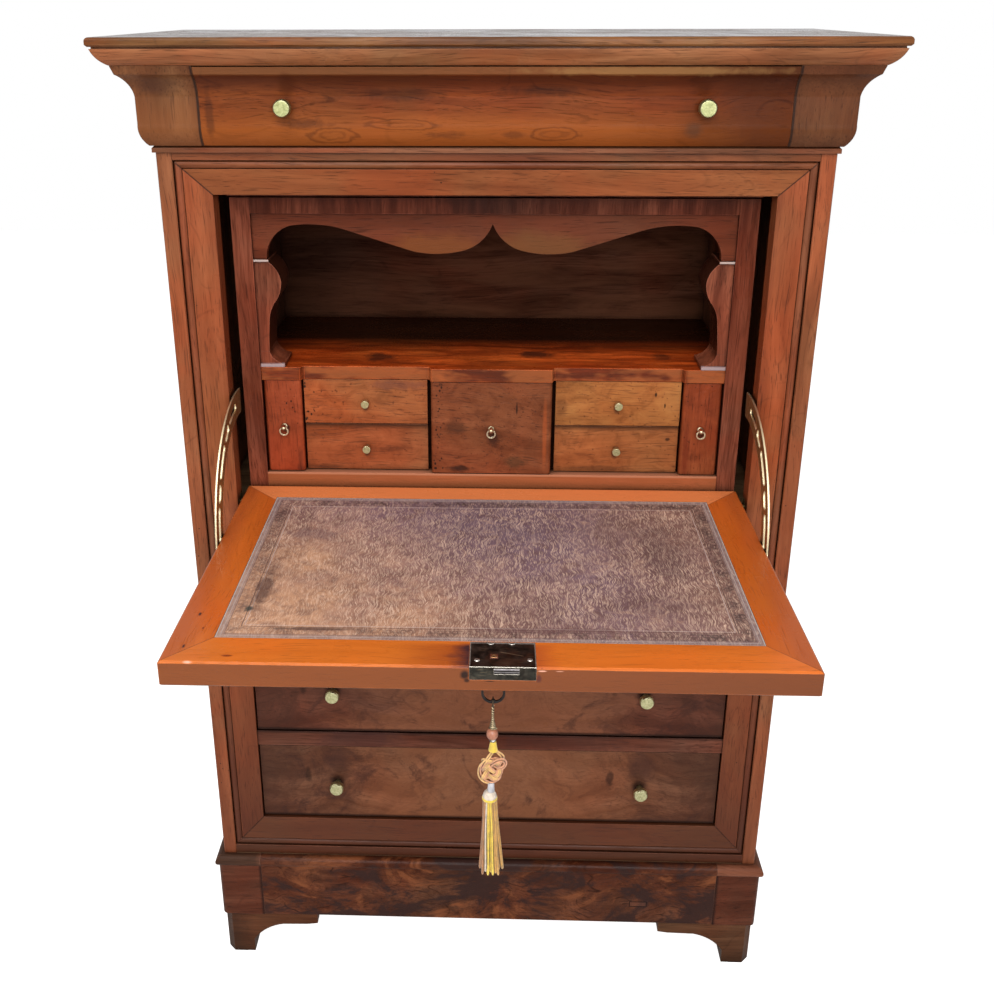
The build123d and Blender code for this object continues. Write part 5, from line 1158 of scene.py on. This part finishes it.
top_arris = steel.between(z, lock_top - 0.0030, lock_top - 0.0020, 0.45, 0.9)
tone = steel.blend(steel.times(arris, top_arris), tone, (0.780, 0.710, 0.600))
steel.surface(Base_Color=tone, Metallic=0.85, Roughness=steel.between(cloud, 0.3, 0.7, 0.30, 0.50),
              Normal=steel.bumped(cloud, 0.0002, 0.5, eased))
finished("lock_case", steel)

bolt_steel = Finish("steel of the bolt")
z = bolt_steel.axis()[2]
cloud = bolt_steel.noise(bolt_steel.spot, 160.0, 4.0, 0.6)
tone = bolt_steel.blend(bolt_steel.between(cloud, 0.35, 0.65), (0.020, 0.018, 0.016), (0.060, 0.052, 0.050))
for height, width in ((0.7957, 0.0011), (0.7926, 0.0009)):
    line = bolt_steel.between(bolt_steel.gap(z, height), width, width * 0.4)
    worn = bolt_steel.between(bolt_steel.noise(bolt_steel.spot, 260.0, 2.0), 0.30, 0.50, 0.35, 0.9)
    tone = bolt_steel.blend(bolt_steel.times(line, worn), tone, (0.260, 0.240, 0.245))
bolt_steel.surface(Base_Color=tone, Metallic=0.85, Roughness=0.4,
                   Normal=bolt_steel.bumped(cloud, 0.0002, 0.5))
finished("lock_bolt", bolt_steel)


# Fixings of the lock plate. Two bright rivet heads, the riveted square end of the
# drill pin in its stained rim, and two wire loops at the back edge.
def rubbed_metal(name, bright, dull, rough=0.34, metallic=1.0, scale=420.0):
    """Plain metal, bright and dull by small clouds."""
    metal = Finish(name)
    cloud = metal.noise(metal.spot, scale, 4.0, 0.6, 0.4)
    metal.surface(Base_Color=metal.blend(metal.between(cloud, 0.36, 0.64), bright, dull), Metallic=metallic,
                  Roughness=metal.between(cloud, 0.3, 0.7, rough - 0.06, rough + 0.14),
                  Normal=metal.bumped(cloud, 0.0001, 0.6))
    return metal


def cords(name, paths, radius, finish, body):
    """Round wire or cord along smooth curves; a fourth number in a point swells it there."""
    line = bpy.data.curves.new(name, "CURVE")
    line.dimensions = "3D"
    line.bevel_depth, line.bevel_resolution, line.resolution_u = radius, 2, 4
    line.use_fill_caps = True
    for path in paths:
        run = line.splines.new("NURBS")
        run.points.add(len(path) - 1)
        for point, place in zip(run.points, path):
            point.co = (*place[:3], 1)
            point.radius = place[3] if len(place) > 3 else 1
        run.order_u = 3
        run.use_endpoint_u = True
    line.materials.append(finish.material)
    piece = bpy.data.objects.new(name, line)
    bpy.context.scene.collection.objects.link(piece)
    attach(piece, body)
    return piece


bright_steel = rubbed_metal("bright steel", (0.66, 0.62, 0.58), (0.40, 0.36, 0.32))
pin_stain = rubbed_metal("red stain round the pin", (0.120, 0.022, 0.014), (0.060, 0.014, 0.010), 0.5, 0.3)
pin_copper = rubbed_metal("copper of the pin", (0.620, 0.350, 0.190), (0.400, 0.190, 0.080))
pin_place, square = (0.0064, -0.3525, lock_top), math.pi / 4
rivets = lathed("lock_rivets", [(-0.0112, -0.3599, lock_top), (0.0437, -0.3583, lock_top)],
                ((0.0029, -0.0002), (0.0028, 0.0003), (0.0020, 0.0007), (0.0010, 0.0009), (0, 0.0009)),
                "Z", bright_steel)
rim_profile = ((0.0062, -0.0002), (0.0060, 0.0002), (0.0048, 0.0003), (0, 0.0003))
pin_profile = ((0.0048, 0.0001), (0.0046, 0.0006), (0.0038, 0.0008), (0.0019, 0.0008), (0.0014, 0.0003),
               (0, 0.0003))
pin_rim = lathed("drill_pin_rim", [pin_place], rim_profile, "Z", pin_stain, sides=4, twist=square)
pin = lathed("drill_pin", [pin_place], pin_profile, "Z", pin_copper, sides=4, twist=square)
for piece in (rivets, pin_rim, pin):
    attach(piece, "fall")
loops = []
for middle in (0.0031, 0.0254):
    bends = [step * math.pi / 8 for step in range(9)]
    loops.append([(middle + 0.0036 * math.cos(bend), lock_back - 0.0006 - 0.0042 * math.sin(bend),
                   lock_top + 0.0003) for bend in bends])
cords("plate_loops", loops, 0.0006, bright_steel, "fall")

# Key. Blackened wrought iron: a thin bow with a cusp, hanging below the fall's
# edge, a plain shank up into the lock, and a cut bit.
finished("key", rubbed_metal("blackened iron", (0.008, 0.006, 0.006), (0.032, 0.024, 0.020), 0.45, 0.6,
                             160.0))

# Hook of the tassel. A small wire ring round the bow of the key, and two wires,
# one pale and one dark, twisted down from it into a cone of close turns.
axle_x, axle_y, axle_z, ring_radius = 0.0058, -0.3515, 0.7423, 0.0048
pale_wire = rubbed_metal("pale wire", (0.640, 0.520, 0.330), (0.300, 0.210, 0.110), 0.4)
dark_wire = rubbed_metal("dark wire", (0.045, 0.034, 0.024), (0.110, 0.080, 0.050), 0.4)
hook_ring = [(axle_x, axle_y + ring_radius * math.sin(turn * math.pi / 8),
              axle_z + ring_radius * math.cos(turn * math.pi / 8)) for turn in range(17)]
ring_of_wire = cords("tassel_ring", [hook_ring], 0.0007, dark_wire, "tassel")
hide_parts("tassel_clip")


def twisted(start):
    """One wire, wound close round the middle at first and then in a widening cone."""
    path = []
    for step in range(61):
        share = step / 60
        cone = max(0, share - 0.625) / 0.375
        drop = 0.7372 - 0.0170 * min(1, share * 1.6) - 0.0116 * cone
        wide = 0.0009 + 0.0034 * cone if cone else 0.0007 + 0.0003 * share
        turn = start + share * 11.0 * 2 * math.pi * (0.55 + 0.45 * share)
        path.append((axle_x + wide * math.cos(turn), axle_y + wide * math.sin(turn), drop))
    return path


cords("tassel_wire_pale", [twisted(0.0)], 0.00085, pale_wire, "tassel")
cords("tassel_wire_dark", [twisted(math.pi)], 0.00080, dark_wire, "tassel")

# Bead of the tassel. A drilled stone bead, pinkish brown, threaded on the wire
# with a turned silver washer under it.
stone = Finish("pinkish stone")
cloud = stone.noise(stone.spot, 130.0, 5.0, 0.65, 0.6)
tone = stone.blend(stone.between(cloud, 0.34, 0.66), (0.250, 0.085, 0.046), (0.450, 0.185, 0.110))
stone.surface(Base_Color=tone, Roughness=stone.between(cloud, 0.3, 0.7, 0.26, 0.44),
              Normal=stone.bumped(cloud, 0.0003, 0.5))
bead_profile = [(0.0011, 0.0066)]
for step in range(1, 12):
    lean = step * math.pi / 12
    bead_profile.append((0.0063 * math.sin(lean) ** 0.62, 0.0062 * math.cos(lean)))
bead_profile.append((0.0011, -0.0066))
bead = lathed("tassel_bead", [(axle_x - 0.0004, axle_y, 0.7013)], bead_profile, "Z", stone, 32)
washer_profile = ((0.0012, 0.0022), (0.0026, 0.0019), (0.0034, 0.0010), (0.0036, 0.0002), (0.0034, -0.0008),
                  (0.0012, -0.0012))
washer = lathed("tassel_washer", [(axle_x, axle_y, 0.6932)], washer_profile, "Z",
                rubbed_metal("silver of the washer", (0.62, 0.60, 0.58), (0.10, 0.09, 0.08), 0.3))
for piece in (bead, washer):
    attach(piece, "tassel")


# Knot of the tassel. Silky cords leave a wrapped neck in pairs, lie in wide loops
# to both sides, and are plaited over and under in the middle of the knot.
def silky(name, colour):
    """Loosely plied silk: painted lit and shaded by turns, with painted dark lines between the plies and
    painted shade where the cords lie close.
    """
    cord = Finish(name)
    shade = cord.noise(cord.spot, 150.0, 3.0, 0.6)
    plies = cord.add("TexWave", {"bands_direction": "DIAGONAL"}, (), Vector=cord.spot, Scale=760.0,
                     Distortion=1.5, Detail=2.0).outputs[1]
    lit = tuple(min(1, c * 1.18) for c in colour)
    tone = cord.blend(cord.between(shade, 0.34, 0.66), deeper(colour, 0.72), lit)
    tone = cord.blend(cord.between(plies, 0.45, 0.0, 0.0, 0.45), tone, deeper(colour, 0.45))
    # Painted shade where the cords lie close.
    tone = cord.blend(cord.times(cord.hollows(0.003), 0.6), tone, deeper(colour, 0.30))
    cord.surface(Base_Color=tone, Roughness=0.46, Specular_IOR_Level=0.45, Sheen_Weight=0.30,
                 Normal=cord.bumped(plies, 0.00018, 0.8))
    return cord


# Each yarn goes by the last word of its colour.
yarns = {name.split()[-2]: silky(name, colour) for name, colour in (
    ("yellow silk", (0.860, 0.590, 0.060)), ("pale gold silk", (0.800, 0.470, 0.170)),
    ("copper pink silk", (0.720, 0.335, 0.180)), ("white silk", (0.740, 0.620, 0.500)),
    ("silver silk", (0.560, 0.540, 0.570)), ("copper brown silk", (0.430, 0.180, 0.055)),
    ("deep orange silk", (0.520, 0.200, 0.020)), ("honey silk", (0.640, 0.340, 0.075)))}


def wound(low, high, wide_low, wide_high, turns):
    """The profile of a close winding of thread."""
    profile = [(0, high)]
    for step in range(turns * 4 + 1):
        share = step / (turns * 4)
        bulge = 0.00032 * abs(math.sin(share * turns * math.pi))
        profile.append((wide_high + (wide_low - wide_high) * share + bulge, high + (low - high) * share))
    return profile + [(0, low)]


neck = lathed("tassel_neck", [(axle_x + 0.0006, axle_y, 0)], wound(0.6800, 0.6916, 0.0049, 0.0030, 8), "Z",
              yarns["yellow"])
throat = lathed("tassel_throat", [(axle_x - 0.0012, axle_y, 0)], wound(0.6262, 0.6372, 0.0036, 0.0031, 8),
                "Z", yarns["silver"])
for piece in (neck, throat):
    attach(piece, "tassel")
knot_x = axle_x - 0.0010


def laid_out(points):
    """Places of a cord from millimetres across, in front and up."""
    return [(knot_x + across / 1000, axle_y - before / 1000, up / 1000) for across, before, up in points]


loops_of = {
    "gold": [
        [(1.5, 0.5, 681), (-1.5, 2.6, 677.5), (-7.2, 3.2, 668.5), (-13.0, 1.0, 661), (-14.8, 0, 652),
         (-13.4, 0, 643.5), (-8.5, 0.5, 638.4), (-2.5, 0.5, 636.6), (1.0, 0, 636)],
        [(3.0, 0.5, 681), (0.8, 2.8, 677), (-5.0, 3.8, 668), (-8.2, 2.2, 662), (-9.4, 0.2, 656)],
        [(4.8, 1.0, 681), (8.8, 1.6, 678.6), (13.4, 0.6, 674), (13.6, -1.2, 667.5), (9.6, -2.0, 661),
         (5.0, -1.4, 656)],
        [(3.4, 0.6, 681), (6.8, 1.4, 677.0), (10.6, 0.8, 672.8), (10.4, -1.0, 666), (6.5, -1.8, 660)],
    ],
    "pink": [
        [(5.5, -1.6, 664), (1.0, 1.2, 671.2), (-5.8, 1.8, 670.0), (-10.6, 1.6, 662.5), (-12.6, 0.8, 654.5),
         (-10.8, 0.6, 646.5), (-5.6, 1.0, 640.2), (1.0, 1.6, 638.2), (6.6, 1.8, 641.4), (10.4, 1.6, 648.5),
         (12.4, 0.6, 655.5), (12.6, -0.6, 661)],
        [(-3.0, 0, 661), (1.4, 3.8, 667.8), (6.6, 4.4, 671.6), (12.6, 3.4, 672.2), (16.4, 1.6, 667.2),
         (16.0, 0.6, 660.4), (11.8, 1.6, 656.6), (6.8, 2.8, 658.6), (2.6, 1.8, 661)],
        [(-1.6, 0.6, 658), (2.4, 4.6, 665.2), (6.8, 5.0, 668.8), (11.4, 4.2, 669.2), (14.0, 2.2, 666.2),
         (13.8, 1.2, 661.4), (10.6, 2.4, 659.2), (6.6, 3.4, 661)],
    ],
}
plait = {"gold": [], "pink": []}
for aside, colour in ((-1.75, "gold"), (0.0, "gold"), (1.75, "pink")):
    path = []
    for step in range(73):
        turn = 2 * math.pi * step / 72
        across, up = 8.4 * math.sin(3 * turn), 12.0 * math.sin(2 * turn + 1.0)
        run, rise = 25.2 * math.cos(3 * turn), 24.0 * math.cos(2 * turn + 1.0)
        length = math.hypot(run, rise)
        over = 2.3 * math.cos(7 * turn + 2 * math.pi / 3)
        path.append((across - aside * rise / length, over + 1.2, 656.2 + up + aside * run / length))
    plait[colour].append(path)
for colour in ("gold", "pink"):
    piece = cords("tassel_knot_" + colour, [laid_out(path) for path in loops_of[colour] + plait[colour]],
                  0.00092, yarns[colour], "tassel")
    if colour == "gold":
        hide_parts("tassel_knot")

# Skirt of the tassel. Soft cords are tied round under a covered collar, the
# colours in groups, and each cord ends in a small melted knob.
collar_x, collar_z, gathers = axle_x - 0.0026, 0.6170, 24
cup_profile = ((0, 0.0088), (0.0044, 0.0092), (0.0058, 0.0078), (0.0070, 0.0050), (0.0078, 0.0022),
               (0.0070, 0.0), (0, 0.0))
rim_profile = [(0.0066 + 0.0019 * math.cos(step * math.pi / 6), 0.0021 * math.sin(step * math.pi / 6))
               for step in range(13)]
cup = lathed("tassel_cup", [(collar_x, axle_y, collar_z)], cup_profile, "Z", yarns["white"], 48, gathers,
             0.00018)
collar = lathed("tassel_collar", [(collar_x, axle_y, collar_z)], rim_profile, "Z", yarns["yellow"], 48,
                gathers, 0.00022)
for piece in (cup, collar):
    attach(piece, "tassel")
random.seed(5)
strand_count, skirt_top, skirt_foot, golden_turn = 58, 0.6165, 0.5172, 2.39996
groups = ((-7.4, "brown"), (-5.6, "honey"), (-4.4, "white"), (-3.4, "brown"), (3.4, "yellow"), (4.6, "pink"),
          (8.0, "orange"), (11, "honey"))
strands = {}
for count in range(strand_count):
    out = math.sqrt((count + 0.5) / strand_count)
    turn = count * golden_turn
    top_x, top_y = collar_x + 0.0072 * out * math.cos(turn), axle_y + 0.0064 * out * math.sin(turn)
    low_x = axle_x - 0.0002 + 0.0136 * out * math.cos(turn) + random.uniform(-0.0010, 0.0010)
    low_y = axle_y + 0.0128 * out * math.sin(turn) + random.uniform(-0.0010, 0.0010)
    low_z = skirt_foot + random.uniform(0, 0.0065) + 0.003 * (1 - out)
    path = []
    for share in (0.0, 0.12, 0.35, 0.6, 0.82, 0.95, 0.985, 1.0):
        spread = share ** 1.1
        sway = 0.0010 * math.sin(share * 3.1 + count) * (1 - abs(2 * share - 1))
        swell = 1.0 if share < 0.94 else 1.45 if share < 1.0 else 0.7
        path.append((top_x + (low_x - top_x) * spread + sway, top_y + (low_y - top_y) * spread,
                     skirt_top + (low_z - skirt_top) * share, swell))
    across = (low_x - axle_x) * 1000 + random.uniform(-1.6, 1.6)
    colour = next((tone for limit, tone in groups if across < limit), "honey")
    if colour in ("brown", "orange") and count % 4 == 0:
        colour = "honey"
    strands.setdefault(colour, []).append(path)
for colour, paths in sorted(strands.items()):
    piece = cords("tassel_skirt_" + colour, paths, 0.00105, yarns[colour], "tassel")
    if colour == "yellow":
        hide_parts("tassel_skirt")
